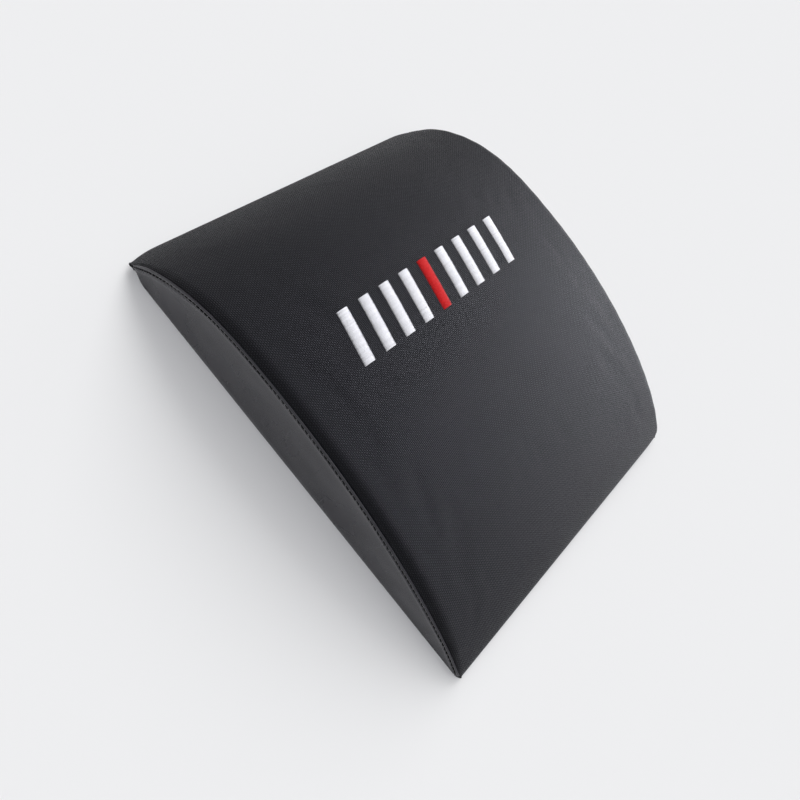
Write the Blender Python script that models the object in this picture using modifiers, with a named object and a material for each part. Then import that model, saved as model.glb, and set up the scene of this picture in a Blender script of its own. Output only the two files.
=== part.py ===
"""Ab mat: a bowed wedge of firm foam in a sewn cover that a zip in the base closes.

X runs across the mat, Y along it from the thin front edge to the steep rear
edge, and Z up. The origin is the middle of the base, on the floor.
"""
import math

import bmesh
import bpy
from mathutils import Vector

# Overall sizes of the filled mat
LENGTH = 0.380
WIDTH = 0.312
HEIGHT = 0.0746

# Side profile: a bow with its own curve before and behind the highest line
PEAK_SHARE = 0.583
FRONT_POWERS = (1.92, 0.83)
REAR_POWERS = (2.96, 0.96)

# Top panel: how it swells above the side seams
ROLL_RISE = 0.0052
ROLL_LEAST_RUN = 0.0015
ROLL_RUN_PER_RISE = 1.4
FRONT_SWELL_SHARE = 2.2
CROWN_RISE = 0.0020
CROWN_SHARES = (0.0, 0.5, 0.85, 1.0)
ROLL_STEPS = 4

# Cloth, seams and the gap kept between neighbours
TOP_CLOTH = 0.0008
SIDE_CLOTH = 0.0008
BASE_CLOTH = 0.0008
ALLOWANCE = 0.008
LEAST_ALLOWANCE = 0.0017
SIDE_CORNER = 0.0012
SIDE_DRAW = 0.0012
BASE_EDGE = 0.0004
GAP = 0.0003
NOSE_STEPS = 3
FOLD_STEPS = 4
SIDE_FACE_SHARES = (0.25, 0.5, 0.75)
SEAM_REACH_SHARE = 0.45

# Rows of the cover along the mat, measured from each end
FIRST_ROW = 0.0035
ROW_STEPS = 18
ROW_CROWDING_SHARE = 0.5

# Zip: its place, its channel in the base and its chain of moulded teeth
ZIP_PLACE_SHARE = 0.30
FLOOR_ROOM = 0.0008
HEM_ROOM = 0.001
HEM_WIDTH = 0.005
CHANNEL_WALL = 0.005
CHANNEL_RAMP = 0.006
CHANNEL_STEPS = 3
TAPE = 0.0006
TAPE_MARGIN = 0.001
TAPE_END_ROOM = 0.002
PULL_END_ROOM = 0.005
TOOTH_PITCH = 0.003
TOOTH_ROOT = 0.0008
TOOTH_HEAD = 0.0012
TOOTH_REACH = 0.0006
TOOTH_NOSE = 0.0005
SPINE_INNER = 0.0019
SPINE_OUTER = 0.0027
CHAIN_THICKNESS = 0.0024

# Slider
SLIDER_LENGTH = 0.011
SLIDER_FLARE = 0.0011
SLIDER_CORNER = 0.0010
PLATE = 0.0009
RAIL = 0.0009
POST_WIDTH = 0.0024
POST_LENGTH = 0.0036
POST_SETBACK = 0.0006
BRIDGE_WIDTH = 0.0020
BRIDGE_THICKNESS = 0.0008
BRIDGE_LEG = 0.0012
BRIDGE_HALF = 0.0036
BRIDGE_SLANT = 0.0007

# Pull tab
PULL_LENGTH = 0.022
PULL_THICKNESS = 0.0012
PULL_HEAD_WIDTH = 0.0062
PULL_NECK_WIDTH = 0.0050
PULL_NECK_PLACE = 0.0075
PULL_GRIP_WIDTH = 0.0080
PULL_GRIP_PLACE = 0.0130
PULL_CORNER = 0.0014
BAR_ROUND_SHARE = 0.98
EYE_START_SHARE = 0.8
EYE_REACH = 0.0050
EYE_SIDE_ROOM = 0.0004
CORD_HOLE_WIDTH = 0.0030
CORD_HOLE_LENGTH = 0.0050
CORD_HOLE_INSET = 0.0022
CORD_HOLE_ROUND_SHARE = 0.9

# Stops at the ends of the chain
STOP_LENGTH = 0.0035
STOP_WIDTH = 0.0022
STOP_GRIP = 0.0006
STOP_THICKNESS = 0.0028

ROUND_STEPS = 4
CUT_OVERRUN = 0.002
SMOOTH_ANGLE = math.radians(40)

# Places worked out from the sizes above
HALF_LENGTH = LENGTH / 2
HALF_WIDTH = WIDTH / 2
BASE_TOP = BASE_CLOTH + GAP
NOSE_RADIUS = TOP_CLOTH + GAP / 2
TIP_HEIGHT = BASE_TOP + 2 * NOSE_RADIUS
FOLD_RADIUS = SIDE_CLOTH + GAP / 2
SIDE_STACK = 2 * FOLD_RADIUS + GAP
SEAM_TOP = HEIGHT - ROLL_RISE - CROWN_RISE
RIM_BOTTOM = BASE_TOP + max(TOP_CLOTH, SIDE_CLOTH) + GAP
SECOND_ROW = ALLOWANCE + 3 * GAP
THIRD_ROW = 2 * ALLOWANCE

RAIL_INNER = SPINE_OUTER + GAP
RAIL_OUTER = RAIL_INNER + RAIL
SLIDER_HALF = RAIL_OUTER + SLIDER_FLARE
PLATE_INNER = CHAIN_THICKNESS / 2 + GAP
PLATE_OUTER = PLATE_INNER + PLATE
RAIL_REACH = TAPE / 2 + GAP
BAR_RADIUS = PULL_THICKNESS / 2
PULL_AXIS_DROP = PLATE_OUTER + GAP + BAR_RADIUS
BRIDGE_DROP = PULL_AXIS_DROP + BAR_RADIUS + GAP
BRIDGE_BOTTOM = BRIDGE_DROP + BRIDGE_THICKNESS

ZIP_Y = ZIP_PLACE_SHARE * LENGTH
CHAIN_Z = FLOOR_ROOM + BRIDGE_BOTTOM
TAPE_BOTTOM = CHAIN_Z - TAPE / 2
CHANNEL_DEPTH = TAPE_BOTTOM - GAP - BASE_CLOTH
CHANNEL_HALF_LENGTH = HALF_WIDTH - ALLOWANCE - 2 * GAP
CHANNEL_FLAT_HALF = CHANNEL_HALF_LENGTH - CHANNEL_RAMP
HEM_EDGE = SLIDER_HALF + HEM_ROOM
CHANNEL_FLOOR_HALF = HEM_EDGE + HEM_WIDTH
CHANNEL_MOUTH_HALF = CHANNEL_FLOOR_HALF + CHANNEL_WALL
TAPE_EDGE = CHANNEL_MOUTH_HALF - TAPE_MARGIN
CHAIN_ROOM = CHANNEL_FLAT_HALF - PULL_LENGTH - PULL_END_ROOM
TOOTH_COUNT = int(2 * CHAIN_ROOM / TOOTH_PITCH)
CHAIN_HALF = TOOTH_COUNT * TOOTH_PITCH / 2

SLIDER_FRONT = SLIDER_LENGTH / 2
SLIDER_REST_X = -CHAIN_HALF - SLIDER_FRONT + POST_SETBACK + POST_LENGTH + GAP
STOP_OUTER = RAIL_INNER + STOP_GRIP
STOP_INNER = STOP_OUTER - STOP_WIDTH


def bow(y):
    """Share of its full height that the side seam reaches at this place."""
    along = y / LENGTH + 0.5
    if along < PEAK_SHARE:
        away = (PEAK_SHARE - along) / PEAK_SHARE
        first, second = FRONT_POWERS
    else:
        away = (along - PEAK_SHARE) / (1 - PEAK_SHARE)
        first, second = REAR_POWERS
    return max(0.0, 1 - away ** first) ** second


def seam_height(y):
    """Height of the seam between top and side panels."""
    return TIP_HEIGHT + (SEAM_TOP - TIP_HEIGHT) * bow(y)


def seam_slope(y):
    """Slope angle of the side seam, by a small central difference."""
    step = GAP
    rise = seam_height(y + step) - seam_height(y - step)
    return math.atan2(rise, 2 * step)


def roll_rise(y):
    """How far the top panel swells above its seams, more towards the front."""
    ahead = max(0.0, PEAK_SHARE - y / LENGTH - 0.5) / PEAK_SHARE
    return ROLL_RISE * bow(y) * (1 + FRONT_SWELL_SHARE * ahead ** 2)


def roll_run(y):
    """Width of the rolled edge beside each seam."""
    return ROLL_LEAST_RUN + ROLL_RUN_PER_RISE * roll_rise(y)


def seam_allowance(y):
    """Depth of the seam's turned-down allowance, less where the side is low."""
    room = SEAM_REACH_SHARE * (seam_height(y) - RIM_BOTTOM - FOLD_RADIUS)
    return min(ALLOWANCE, room)


def cover_rows():
    """Places along Y where the cover and the foam have a section."""
    places = [FIRST_ROW, SECOND_ROW]
    span = LENGTH - 2 * THIRD_ROW
    for step in range(ROW_STEPS + 1):
        even = step / ROW_STEPS
        crowded = 0.5 - 0.5 * math.cos(math.pi * even)
        share = even + ROW_CROWDING_SHARE * (crowded - even)
        places.append(THIRD_ROW + span * share)
    places.extend([LENGTH - SECOND_ROW, LENGTH - FIRST_ROW])
    return [place - HALF_LENGTH for place in places]


def half_section(y, inset):
    """Outline of the top from its middle to a seam, drawn in by inset."""
    drop = inset / math.cos(seam_slope(y))
    seam = seam_height(y) - drop
    rise = roll_rise(y)
    run = roll_run(y)
    edge = HALF_WIDTH - SIDE_STACK - run
    crown = CROWN_RISE * bow(y)
    points = []
    for share in CROWN_SHARES:
        points.append((edge * share, seam + rise + crown * (1 - share ** 2)))
    for step in range(1, ROLL_STEPS + 1):
        turn = math.pi / 2 * (1 - step / ROLL_STEPS)
        across = edge + (run - inset) * math.cos(turn)
        points.append((across, seam + rise * math.sin(turn)))
    return points


def mirrored(half):
    """A whole row from a half row that starts on the middle line."""
    left = [(-across, height) for across, height in reversed(half[1:])]
    return left + half


def fillet(corners, radius):
    """Round each corner of an outline with an arc."""
    outline = []
    count = len(corners)
    for index in range(count):
        here = Vector(corners[index])
        back = (Vector(corners[index - 1]) - here).normalized()
        ahead = (Vector(corners[(index + 1) % count]) - here).normalized()
        half = back.angle(ahead) / 2
        centre = here + (back + ahead).normalized() * radius / math.sin(half)
        start = here + back * radius / math.tan(half) - centre
        end = here + ahead * radius / math.tan(half) - centre
        first = math.atan2(start.y, start.x)
        sweep = (math.atan2(end.y, end.x) - first + math.pi) % math.tau - math.pi
        for step in range(ROUND_STEPS + 1):
            turn = first + sweep * step / ROUND_STEPS
            outline.append((centre.x + radius * math.cos(turn), centre.y + radius * math.sin(turn)))
    return outline


def material(name, colour, roughness, metallic=0.0):
    """One Principled material."""
    made = bpy.data.materials.new(name)
    made.use_nodes = True
    shader = made.node_tree.nodes["Principled BSDF"]
    shader.inputs["Base Color"].default_value = (*colour, 1.0)
    shader.inputs["Roughness"].default_value = roughness
    shader.inputs["Metallic"].default_value = metallic
    made.diffuse_color = (*colour, 1.0)
    return made


def place(name, bm, finish, collection):
    """Turn a bmesh into an object in a collection."""
    mesh = bpy.data.meshes.new(name)
    bm.to_mesh(mesh)
    bm.free()
    mesh.materials.append(finish)
    mesh.shade_smooth()
    mesh.set_sharp_from_angle(angle=SMOOTH_ANGLE)
    made = bpy.data.objects.new(name, mesh)
    collection.objects.link(made)
    return made


def skin(name, rows, thickness, outward, finish, collection):
    """A cloth panel: a grid of points with its thickness on the inner side."""
    bm = bmesh.new()
    grid = []
    for row in rows:
        grid.append([bm.verts.new(point) if point is not None else None for point in row])
    for near, far in zip(grid, grid[1:]):
        for index in range(len(near) - 1):
            corners = (near[index], near[index + 1], far[index + 1], far[index])
            if None not in corners:
                bm.faces.new(corners)
    bm.faces.ensure_lookup_table()
    bmesh.ops.recalc_face_normals(bm, faces=bm.faces)
    middle = bm.faces[len(bm.faces) // 2]
    if middle.normal.dot(Vector(outward)) < 0:
        bmesh.ops.reverse_faces(bm, faces=bm.faces)
    panel = place(name, bm, finish, collection)
    wall = panel.modifiers.new("cloth thickness", "SOLIDIFY")
    wall.thickness = thickness
    wall.offset = -1
    wall.use_even_offset = True
    wall.use_quality_normals = True
    return panel


def prism(outline, along, start, end):
    """A solid from an outline in the plane across one axis, pushed along it."""
    bm = bmesh.new()
    corners = []
    for first, second in outline:
        point = [first, second]
        point.insert(along, start)
        corners.append(bm.verts.new(point))
    face = bm.faces.new(corners)
    pushed = bmesh.ops.extrude_face_region(bm, geom=[face])
    moved = [item for item in pushed["geom"] if isinstance(item, bmesh.types.BMVert)]
    shift = Vector((0, 0, 0))
    shift[along] = end - start
    bmesh.ops.translate(bm, verts=moved, vec=shift)
    bmesh.ops.recalc_face_normals(bm, faces=bm.faces)
    return bm


def box_outline(low, high):
    """Rectangle between two corners."""
    return [(low[0], low[1]), (high[0], low[1]), (high[0], high[1]), (low[0], high[1])]


def tool(name, bm, collections, like=None):
    """A hidden shape that another piece is cut by or joined with."""
    made = place(name, bm, collections["plain"], collections["tools"])
    made.hide_render = True
    made.display_type = "WIRE"
    if like is not None:
        made.location = like.location
        made.parent = like.parent
    return made


def combine(target, other, operation):
    """Add one Boolean to a piece."""
    step = target.modifiers.new(other.name, "BOOLEAN")
    step.operation = operation
    step.object = other
    step.solver = "EXACT"


def foam_core(finishes, parts, collections):
    """The firm foam wedge, with its groove for the zip."""
    bm = bmesh.new()
    inset = TOP_CLOTH + GAP + GAP / 2
    rim = HALF_WIDTH - ALLOWANCE - 2 * GAP
    rings = []
    rows = cover_rows()
    for index, y in enumerate(rows):
        from_end = min(index, len(rows) - 1 - index)
        floor = RIM_BOTTOM if from_end < 2 else BASE_TOP
        half = half_section(y, inset if from_end else inset + 2 * GAP)
        side = half[-1][0]
        half += [(side, RIM_BOTTOM), (rim, RIM_BOTTOM), (rim - inset, floor)]
        ring = [bm.verts.new((across, y, height)) for across, height in mirrored(half)]
        rings.append(ring)
    for near, far in zip(rings, rings[1:]):
        for index in range(len(near)):
            after = (index + 1) % len(near)
            bm.faces.new((near[index], near[after], far[after], far[index]))
    bm.faces.new(rings[0])
    bm.faces.new(rings[-1])
    bmesh.ops.recalc_face_normals(bm, faces=bm.faces)
    core = place("foam_core", bm, finishes["foam"], parts)

    mouth = CHANNEL_MOUTH_HALF + BASE_CLOTH + 2 * GAP
    shelf = TAPE_EDGE + 3 * GAP
    trench = SLIDER_HALF + PLATE
    shelf_top = TAPE_BOTTOM + TAPE + GAP
    trench_top = CHAIN_Z + PLATE_OUTER + 2 * GAP
    outline = [
        (-mouth, BASE_TOP - CUT_OVERRUN), (mouth, BASE_TOP - CUT_OVERRUN),
        (mouth, BASE_TOP + GAP), (shelf, shelf_top), (trench, shelf_top),
        (trench, trench_top), (-trench, trench_top), (-trench, shelf_top),
        (-shelf, shelf_top), (-mouth, BASE_TOP + GAP),
    ]
    shifted = [(ZIP_Y + across, height) for across, height in outline]
    end = CHANNEL_HALF_LENGTH + 2 * GAP
    groove = tool("zip_groove", prism(shifted, 0, -end, end), collections)
    combine(core, groove, "DIFFERENCE")
    return core


def top_panel(finishes, parts):
    """Woven panel over the top, its ends turned in and its sides turned down."""
    rows = []
    cover = cover_rows()
    sections = [mirrored(half_section(y, 0.0)) for y in cover]

    def end_rows(section, end):
        """Turned-in hem and rolled nose at one end, from the inside out."""
        flat = [across for across, height in section]
        nose_y = end * (HALF_LENGTH - NOSE_RADIUS)
        made = [[(across, end * (HALF_LENGTH - ALLOWANCE), BASE_TOP) for across in flat]]
        for step in range(NOSE_STEPS + 1):
            turn = math.pi * 0.75 * step / NOSE_STEPS
            y = nose_y + end * NOSE_RADIUS * math.sin(turn)
            z = BASE_TOP + NOSE_RADIUS * (1 - math.cos(turn))
            made.append([(across, y, z) for across in flat])
        return [[None] + row + [None] for row in made]

    rows += end_rows(sections[0], -1)
    for y, section in zip(cover, sections):
        depth = seam_allowance(y)
        row = [(across, y, height) for across, height in section]
        left = (row[0][0], y, row[0][2] - depth)
        right = (row[-1][0], y, row[-1][2] - depth)
        rows.append([left] + row + [right])
    rows += reversed(end_rows(sections[-1], 1))
    return skin("top_panel", rows, TOP_CLOTH, (0, 0, 1), finishes["woven"], parts)


def side_panel(name, side, finishes, parts):
    """Smooth crescent on one side, folded over at the seam and in at the base."""
    rows = []
    for y in cover_rows():
        seam = seam_height(y)
        depth = seam_allowance(y)
        end_room = HALF_LENGTH - abs(y) - ALLOWANCE - 2 * GAP
        foot = max(LEAST_ALLOWANCE, min(ALLOWANCE, end_room))
        corner = BASE_TOP + SIDE_CORNER
        shoulder = seam - FOLD_RADIUS
        bend = shoulder - depth
        draw = SIDE_DRAW * (bend - corner) / (SEAM_TOP - ALLOWANCE)
        points = [(HALF_WIDTH - foot, BASE_TOP)]
        for step in range(3):
            turn = math.pi / 4 * step
            across = HALF_WIDTH - SIDE_CORNER * (1 - math.sin(turn))
            points.append((across, corner - SIDE_CORNER * math.cos(turn)))
        for share in SIDE_FACE_SHARES:
            across = HALF_WIDTH - draw * math.sin(math.pi * share)
            points.append((across, corner + (bend - corner) * share))
        points.append((HALF_WIDTH, bend))
        for step in range(FOLD_STEPS + 1):
            turn = math.pi * step / FOLD_STEPS
            across = HALF_WIDTH - FOLD_RADIUS * (1 - math.cos(turn))
            points.append((across, shoulder + FOLD_RADIUS * math.sin(turn)))
        points.append((HALF_WIDTH - 2 * FOLD_RADIUS, bend))
        rows.append([(side * across, y, height) for across, height in points])
    return skin(name, rows, SIDE_CLOTH, (side, 0, 0), finishes["vinyl"], parts)


def smooth_step(share):
    """Soft rise from 0 to 1."""
    share = min(1.0, max(0.0, share))
    return share * share * (3 - 2 * share)


def base_columns():
    """Places across the base where the panels have a line of points."""
    half = [0.0, CHANNEL_HALF_LENGTH / 2, CHANNEL_FLAT_HALF]
    for step in range(1, CHANNEL_STEPS + 1):
        half.append(CHANNEL_FLAT_HALF + CHANNEL_RAMP * step / CHANNEL_STEPS)
    half.append(HALF_WIDTH - BASE_EDGE)
    return [-across for across in reversed(half[1:])] + half


def base_panel(name, side, finishes, parts):
    """One of the two base panels: flat, with its hem raised beside the zip."""
    outer = side * HALF_LENGTH - side * BASE_EDGE
    offsets = []
    for step in range(CHANNEL_STEPS + 1):
        offsets.append(CHANNEL_FLOOR_HALF + CHANNEL_WALL * step / CHANNEL_STEPS)
    rows = []
    for across in base_columns():
        length_share = smooth_step((CHANNEL_HALF_LENGTH - abs(across)) / CHANNEL_RAMP)
        hem = GAP / 2 + (HEM_EDGE - GAP / 2) * length_share
        row = [(across, ZIP_Y + side * hem, CHANNEL_DEPTH * length_share)]
        for offset in offsets:
            rise = smooth_step((CHANNEL_MOUTH_HALF - offset) / CHANNEL_WALL)
            height = CHANNEL_DEPTH * length_share * rise
            row.append((across, ZIP_Y + side * offset, height))
        middle = (ZIP_Y + side * CHANNEL_MOUTH_HALF + outer) / 2
        row.append((across, middle, 0.0))
        row.append((across, outer, 0.0))
        rows.append(row)
    return skin(name, rows, BASE_CLOTH, (0, 0, -1), finishes["vinyl"], parts)


def zip_tape(name, side, finishes, parts):
    """Woven tape that carries one row of teeth."""
    end = CHANNEL_FLAT_HALF - TAPE_END_ROOM
    near, far = sorted((side * RAIL_INNER, side * TAPE_EDGE))
    outline = box_outline((-end, ZIP_Y + near), (end, ZIP_Y + far))
    bm = prism(outline, 2, TAPE_BOTTOM, TAPE_BOTTOM + TAPE)
    return place(name, bm, finishes["tape"], parts)


def zip_teeth(name, side, finishes, parts):
    """One row of moulded teeth on its spine, half a pitch from the other row."""
    offset = TOOTH_PITCH / 4 * side
    outline = [(-CHAIN_HALF, side * SPINE_OUTER), (-CHAIN_HALF, side * SPINE_INNER)]
    for index in range(TOOTH_COUNT):
        middle = -CHAIN_HALF + TOOTH_PITCH * (index + 0.5) + offset
        shape = [
            (-TOOTH_ROOT / 2, SPINE_INNER), (-TOOTH_HEAD / 2, TOOTH_NOSE - TOOTH_REACH),
            (-TOOTH_ROOT / 2, -TOOTH_REACH), (TOOTH_ROOT / 2, -TOOTH_REACH),
            (TOOTH_HEAD / 2, TOOTH_NOSE - TOOTH_REACH), (TOOTH_ROOT / 2, SPINE_INNER),
        ]
        outline += [(middle + along, side * across) for along, across in shape]
    outline += [(CHAIN_HALF, side * SPINE_INNER), (CHAIN_HALF, side * SPINE_OUTER)]
    shifted = [(along, ZIP_Y + across) for along, across in outline]
    low = CHAIN_Z - CHAIN_THICKNESS / 2
    bm = prism(shifted, 2, low, low + CHAIN_THICKNESS)
    return place(name, bm, finishes["teeth"], parts)


def slider(finishes, parts, collections):
    """Slider: two plates with rails, the post that parts the rows, and the bridge."""
    front = -SLIDER_FRONT
    rear = SLIDER_FRONT
    shield = fillet([
        (front, -SLIDER_HALF), (0, -SLIDER_HALF), (rear, -RAIL_OUTER),
        (rear, RAIL_OUTER), (0, SLIDER_HALF), (front, SLIDER_HALF),
    ], SLIDER_CORNER)
    plate = prism(shield, 2, -PLATE_OUTER, -PLATE_INNER)
    body = place("zip_slider", plate, finishes["metal"], parts)
    body.location = (SLIDER_REST_X, ZIP_Y, CHAIN_Z)

    def join(name, outline, along, low, high):
        """Join a prism to the slider's first plate."""
        added = tool(name, prism(outline, along, low, high), collections, body)
        combine(body, added, "UNION")

    join("slider_upper_plate", shield, 2, PLATE_INNER, PLATE_OUTER)
    bite = PLATE_INNER + PLATE / 2
    start = front + SLIDER_CORNER
    end = rear - SLIDER_CORNER
    for label, side in (("front", -1), ("rear", 1)):
        rail = [
            (start, side * SLIDER_HALF), (0, side * SLIDER_HALF), (end, side * RAIL_OUTER),
            (end, side * RAIL_INNER), (0, side * (SLIDER_HALF - RAIL)), (start, side * (SLIDER_HALF - RAIL)),
        ]
        join(f"slider_lower_rail_{label}", rail, 2, -bite, -RAIL_REACH)
        join(f"slider_upper_rail_{label}", rail, 2, RAIL_REACH, bite)
    nose = front + POST_SETBACK
    waist = nose + POST_LENGTH / 2
    half = POST_WIDTH / 2
    post = [(nose, -half), (waist, -half), (nose + POST_LENGTH, 0), (waist, half), (nose, half)]
    join("slider_post", post, 2, -bite, bite)

    inner = BRIDGE_HALF - BRIDGE_LEG
    crest = BRIDGE_HALF - BRIDGE_SLANT
    arch = [
        (-BRIDGE_HALF, -bite), (-BRIDGE_HALF, -BRIDGE_DROP), (-crest, -BRIDGE_BOTTOM),
        (crest, -BRIDGE_BOTTOM), (BRIDGE_HALF, -BRIDGE_DROP), (BRIDGE_HALF, -bite),
        (inner, -bite), (inner, -BRIDGE_DROP), (-inner, -BRIDGE_DROP), (-inner, -bite),
    ]
    join("slider_bridge", arch, 1, -BRIDGE_WIDTH / 2, BRIDGE_WIDTH / 2)
    return body


def is_bar_edge(edge):
    """Whether an edge runs across the end of the pull that hangs in the bridge."""
    first, second = (vert.co for vert in edge.verts)
    at_end = abs(first.x + BAR_RADIUS) < GAP / 2 and abs(second.x + BAR_RADIUS) < GAP / 2
    return at_end and abs(first.y - second.y) > PULL_HEAD_WIDTH / 2


def pull(body, finishes, parts, collections):
    """Pull tab, hung by its cross bar under the slider's bridge."""
    head = PULL_HEAD_WIDTH / 2
    neck = PULL_NECK_WIDTH / 2
    grip = PULL_GRIP_WIDTH / 2
    side = [
        (-BAR_RADIUS, head), (PULL_NECK_PLACE, neck), (PULL_GRIP_PLACE, grip),
        (PULL_LENGTH - PULL_CORNER, grip), (PULL_LENGTH, grip - PULL_CORNER),
    ]
    corners = [(along, -across) for along, across in side] + side[::-1]
    bm = prism(corners, 2, -BAR_RADIUS, BAR_RADIUS)
    bar_edges = [edge for edge in bm.edges if is_bar_edge(edge)]
    rounding = BAR_RADIUS * BAR_ROUND_SHARE
    bmesh.ops.bevel(
        bm, geom=bar_edges, offset=rounding, segments=ROUND_STEPS, profile=0.5, affect="EDGES",
    )
    tab = place("zip_pull", bm, finishes["metal"], parts)
    tab.parent = body
    tab.location = (0, 0, -PULL_AXIS_DROP)

    half = BRIDGE_WIDTH / 2 + EYE_SIDE_ROOM
    eye_outline = box_outline((BAR_RADIUS * EYE_START_SHARE, -half), (EYE_REACH, half))
    eye = prism(eye_outline, 2, -CUT_OVERRUN, CUT_OVERRUN)
    combine(tab, tool("pull_eye", eye, collections, tab), "DIFFERENCE")
    far = PULL_LENGTH - CORD_HOLE_INSET
    half = CORD_HOLE_WIDTH / 2
    hole_outline = box_outline((far - CORD_HOLE_LENGTH, -half), (far, half))
    rounded = fillet(hole_outline, half * CORD_HOLE_ROUND_SHARE)
    hole = prism(rounded, 2, -CUT_OVERRUN, CUT_OVERRUN)
    combine(tab, tool("pull_cord_hole", hole, collections, tab), "DIFFERENCE")
    return tab


def stop(name, low, high, finishes, parts, collections):
    """A stop clipped on the tape edges: a block with a slit for each tape."""
    low_z = CHAIN_Z - STOP_THICKNESS / 2
    outline = box_outline((low[0], low[1] + ZIP_Y), (high[0], high[1] + ZIP_Y))
    block = place(name, prism(outline, 2, low_z, low_z + STOP_THICKNESS), finishes["metal"], parts)
    slit_low = CHAIN_Z - RAIL_REACH
    slit_high = CHAIN_Z + RAIL_REACH
    for label, side in (("front", -1), ("rear", 1)):
        near, far = sorted((side * (RAIL_INNER - GAP), side * (STOP_OUTER + CUT_OVERRUN)))
        start = (low[0] - CUT_OVERRUN, ZIP_Y + near)
        end = (high[0] + CUT_OVERRUN, ZIP_Y + far)
        slit = prism(box_outline(start, end), 2, slit_low, slit_high)
        cutter = tool(f"{name}_slit_{label}", slit, collections)
        combine(block, cutter, "DIFFERENCE")
    return block


def main():
    """Clear the scene and build every piece."""
    for old in list(bpy.data.objects):
        bpy.data.objects.remove(old, do_unlink=True)
    parts = bpy.data.collections.new("ab_mat")
    tools = bpy.data.collections.new("cutters")
    for made in (parts, tools):
        bpy.context.scene.collection.children.link(made)
    finishes = {
        "foam": material("foam", (0.10, 0.10, 0.11), 0.95),
        "woven": material("woven_cloth", (0.022, 0.022, 0.024), 0.62),
        "vinyl": material("smooth_vinyl", (0.045, 0.045, 0.048), 0.48),
        "tape": material("zip_tape", (0.015, 0.015, 0.016), 0.85),
        "teeth": material("zip_teeth", (0.02, 0.02, 0.022), 0.40),
        "metal": material("dark_metal", (0.10, 0.10, 0.105), 0.32, 1.0),
    }
    collections = {"tools": tools, "plain": material("tool", (0.5, 0.5, 0.5), 0.5)}

    foam_core(finishes, parts, collections)
    top_panel(finishes, parts)
    side_panel("side_panel_left", -1, finishes, parts)
    side_panel("side_panel_right", 1, finishes, parts)
    base_panel("base_panel_front", -1, finishes, parts)
    base_panel("base_panel_rear", 1, finishes, parts)
    for label, side in (("front", -1), ("rear", 1)):
        zip_tape(f"zip_tape_{label}", side, finishes, parts)
        zip_teeth(f"zip_teeth_{label}", side, finishes, parts)
    body = slider(finishes, parts, collections)
    pull(body, finishes, parts, collections)
    closed_end = SLIDER_REST_X - SLIDER_FRONT - GAP
    for label, side in (("front", -1), ("rear", 1)):
        across = sorted((side * STOP_INNER, side * STOP_OUTER))
        low = (closed_end - STOP_LENGTH, across[0])
        stop(f"zip_top_stop_{label}", low, (closed_end, across[1]), finishes, parts, collections)
    open_end = CHAIN_HALF + GAP
    low = (open_end, -STOP_OUTER)
    stop("zip_bottom_stop", low, (open_end + STOP_LENGTH, STOP_OUTER), finishes, parts, collections)


main()
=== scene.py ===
"""Ab mat: the looks of a bowed foam wedge in its sewn cover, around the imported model.

Everything is in metres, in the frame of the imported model: X runs across the mat,
Y along it from the thin front edge to the steep rear edge, and Z up from the floor.
"""

import logging
import math
import random
from dataclasses import dataclass
from enum import Enum
from functools import cached_property
from typing import Callable, Optional, Sequence, Union

import bmesh
import bpy
import numpy as np
from mathutils import Matrix, Vector, noise


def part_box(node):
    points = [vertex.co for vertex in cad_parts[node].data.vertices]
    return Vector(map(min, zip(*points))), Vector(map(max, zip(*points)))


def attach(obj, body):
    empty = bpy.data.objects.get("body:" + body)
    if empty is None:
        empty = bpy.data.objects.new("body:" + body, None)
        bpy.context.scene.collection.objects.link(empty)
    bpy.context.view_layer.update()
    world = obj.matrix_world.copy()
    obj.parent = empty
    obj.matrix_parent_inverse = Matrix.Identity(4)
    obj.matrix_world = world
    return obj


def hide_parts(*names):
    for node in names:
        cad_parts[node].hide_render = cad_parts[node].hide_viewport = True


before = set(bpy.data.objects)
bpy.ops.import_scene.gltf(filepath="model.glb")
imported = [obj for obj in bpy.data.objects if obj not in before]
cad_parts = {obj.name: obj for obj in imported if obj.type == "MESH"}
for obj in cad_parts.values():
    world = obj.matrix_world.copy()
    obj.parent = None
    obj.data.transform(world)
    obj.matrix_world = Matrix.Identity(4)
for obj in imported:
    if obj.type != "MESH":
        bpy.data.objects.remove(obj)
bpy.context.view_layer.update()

LOG = logging.getLogger("ab_mat")
MM = 0.001
MAT_BODY = "mat"
CLOTH = 0.8 * MM
ZIP_Y = 114 * MM

Point = tuple[float, float, float]
Pair = tuple[float, float]
Colour = tuple[float, float, float, float]
Piece = bpy.types.Object
Tree = bpy.types.NodeTree
Socket = bpy.types.NodeSocket
Value = Union[float, tuple, Socket]


class Side(Enum):
    """The two long sides of the mat, by the sign of X."""

    LEFT = -1
    RIGHT = 1


class End(Enum):
    """The two ends of the mat, by the sign of Y."""

    FRONT = -1
    REAR = 1


# Small helpers


def smooth_step(share: float) -> float:
    """Rise softly from 0 to 1 as share does."""
    share = min(1.0, max(0.0, share))
    return share * share * (3 - 2 * share)


def bump_at(place: float, middle: float, width: float) -> float:
    """Height of a soft bump of height 1 round a middle."""
    return math.exp(-(((place - middle) / width) ** 2))


def fade(away: float, reach: float) -> float:
    """Die away from 1 over a distance."""
    return math.exp(-away / reach)


def evenly(first: float, last: float, count: int) -> list[float]:
    """Values in equal steps from the first one towards the last one, which is left out."""
    return [first + (last - first) * step / count for step in range(count)]


@dataclass(frozen=True)
class Ripple:
    """Smooth random rises and dips; a squeeze under 1 draws them out along their second axis."""

    height: float
    size: float
    seed: float
    squeeze: float = 1.0

    def at(self, first: float, second: float, change: float = 0.0) -> float:
        """Rise at a place; change picks another pattern of the same kind."""
        place = (first / self.size, second * self.squeeze / self.size, self.seed + change)
        return self.height * noise.noise(Vector(place))


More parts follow.
